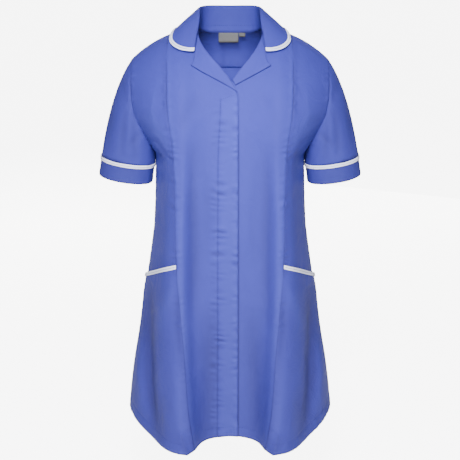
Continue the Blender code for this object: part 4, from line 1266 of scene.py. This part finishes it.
# %% Stitch along a path
STITCH = 0.0029
STITCH_SPACE = 0.0013
THREAD = 0.00042
THREAD_SHOWS = 0.45


def make_stitches(name, rows, finish):
    """Dashes of thread along each row of points."""
    mesh = bmesh.new()
    count = 0
    for row in rows:
        spots = even_steps(row, STITCH + STITCH_SPACE)
        for i in range(1, len(spots) - 1):
            along = Vector(spots[i + 1] - spots[i - 1]).normalized()
            turn = along.to_track_quat("X", "Z").to_matrix().to_4x4()
            made = bmesh.ops.create_icosphere(mesh, subdivisions=1, radius=1.0)["verts"]
            bmesh.ops.scale(mesh, verts=made, vec=(STITCH / 2, THREAD, THREAD))
            bmesh.ops.transform(mesh, verts=made, matrix=turn)
            bmesh.ops.translate(mesh, verts=made, vec=Vector(spots[i]))
            count += 1
    data = bpy.data.meshes.new(name)
    mesh.to_mesh(data)
    mesh.free()
    thread = add_object(name, data)
    smooth_faces(data)
    points = points_of(thread)
    give_cut(thread, points[:, [0, 2]])
    give_attribute(thread, "rim", np.ones(len(points)))
    give_attribute(thread, "painted_light", np.full(len(points), 0.5))
    data.materials.append(finish)
    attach(thread, "root")
    print(name, count, "stitches")


def surface_tree(piece):
    data = piece.data
    return BVHTree.FromPolygons([v.co for v in data.vertices], [f.vertices for f in data.polygons])


def lay(tree, start, way):
    """The first point of the cloth that a ray meets, lifted by a part of the thread."""
    lift = THREAD * THREAD_SHOWS
    spot, _, _, _ = tree.ray_cast(Vector(start), Vector(way))
    return None if spot is None else np.array(spot - Vector(way).normalized() * lift)


def laid_row(tree, starts, way):
    found = [lay(tree, start, way if not callable(way) else way(start)) for start in starts]
    return np.array([spot for spot in found if spot is not None])


# %% Stitch the lapped front, the hem and the collar stand
FROM_FRONT = (0.0, 1.0, 0.0)
FAR_IN_FRONT = -1.0
FLY_STITCHES = (-0.128, -0.802)
ROW_STEP = 0.003
SLANT_FROM = (0.0130, -0.117)
SLANT_BY = (-0.0295, -0.0095)
SLANT_POINTS = 14
HEM_MARK_STEP = 0.016
HEM_MARK_MARGIN = 0.012
STAND_ROW_HEIGHT = 0.0015
STAND_ROW_TURN = 64
fly_tree = surface_tree(pieces["front_right"])
starts = []
for t in np.linspace(0, 1, SLANT_POINTS):
    starts.append((SLANT_FROM[0] + SLANT_BY[0] * t, FAR_IN_FRONT, SLANT_FROM[1] + SLANT_BY[1] * t))
for height in np.arange(*FLY_STITCHES, -ROW_STEP):
    starts.append((fly_row_x(height), FAR_IN_FRONT, height))
rows = [laid_row(fly_tree, starts, FROM_FRONT)]


def hem_row(piece, behind):
    """Points of the hem's stitches on one panel."""
    way = -1.0 if behind else 1.0
    spots = np.array(lowest_edge(piece, HEM_ABOVE))
    angle = np.arctan2(spots[:, 0], -spots[:, 1] * way)
    order = np.argsort(angle)
    low, high = angle.min(), angle.max()
    count = int((high - low) / HEM_MARK_STEP)
    marks = np.linspace(low + HEM_MARK_MARGIN, high - HEM_MARK_MARGIN, count)
    height = np.interp(marks, angle[order], spots[order, 2])
    tree = surface_tree(piece)
    starts = [(math.sin(a), -math.cos(a) * way, h + HEM_TURN) for a, h in zip(marks, height)]
    return laid_row(tree, starts, lambda s: (-s[0], -s[1], 0.0))


for cad_node in ("front_right", "front_left", "pocket_front_right", "pocket_front_left", "back"):
    rows.append(hem_row(pieces[cad_node], cad_node == "back"))
collar_tree = surface_tree(pieces["collar"])
stand_row = []
for turn in range(-STAND_ROW_TURN, STAND_ROW_TURN + 1, 4):
    way = (math.sin(math.radians(turn)), math.cos(math.radians(turn)), 0.0)
    stand_row.append(lay(collar_tree, (0.0, -0.002, STAND_ROW_HEIGHT), way))
rows.append([spot for spot in stand_row if spot is not None])
make_stitches("cloth_stitches", rows, materials["blue_thread"])

# %% Stitch the braids
braid_rows = [tape_middle(piece, n) for n, piece in pieces.items() if "braid" in n]
make_stitches("braid_stitches", braid_rows, materials["white_thread"])

# %% [markdown]
# ## Count the triangles
#
# The triangles are counted, and the piece with the most is named.

# %% Count the triangles
counts = {}
for made in bpy.data.objects:
    if made.type == "MESH" and made.name.endswith(("_cloth", "_tape", "_stitches")):
        counts[made.name] = sum(len(face.vertices) - 2 for face in made.data.polygons)
largest = max(counts, key=counts.get)
print("triangles", sum(counts.values()), "in all, most in", largest, counts[largest])
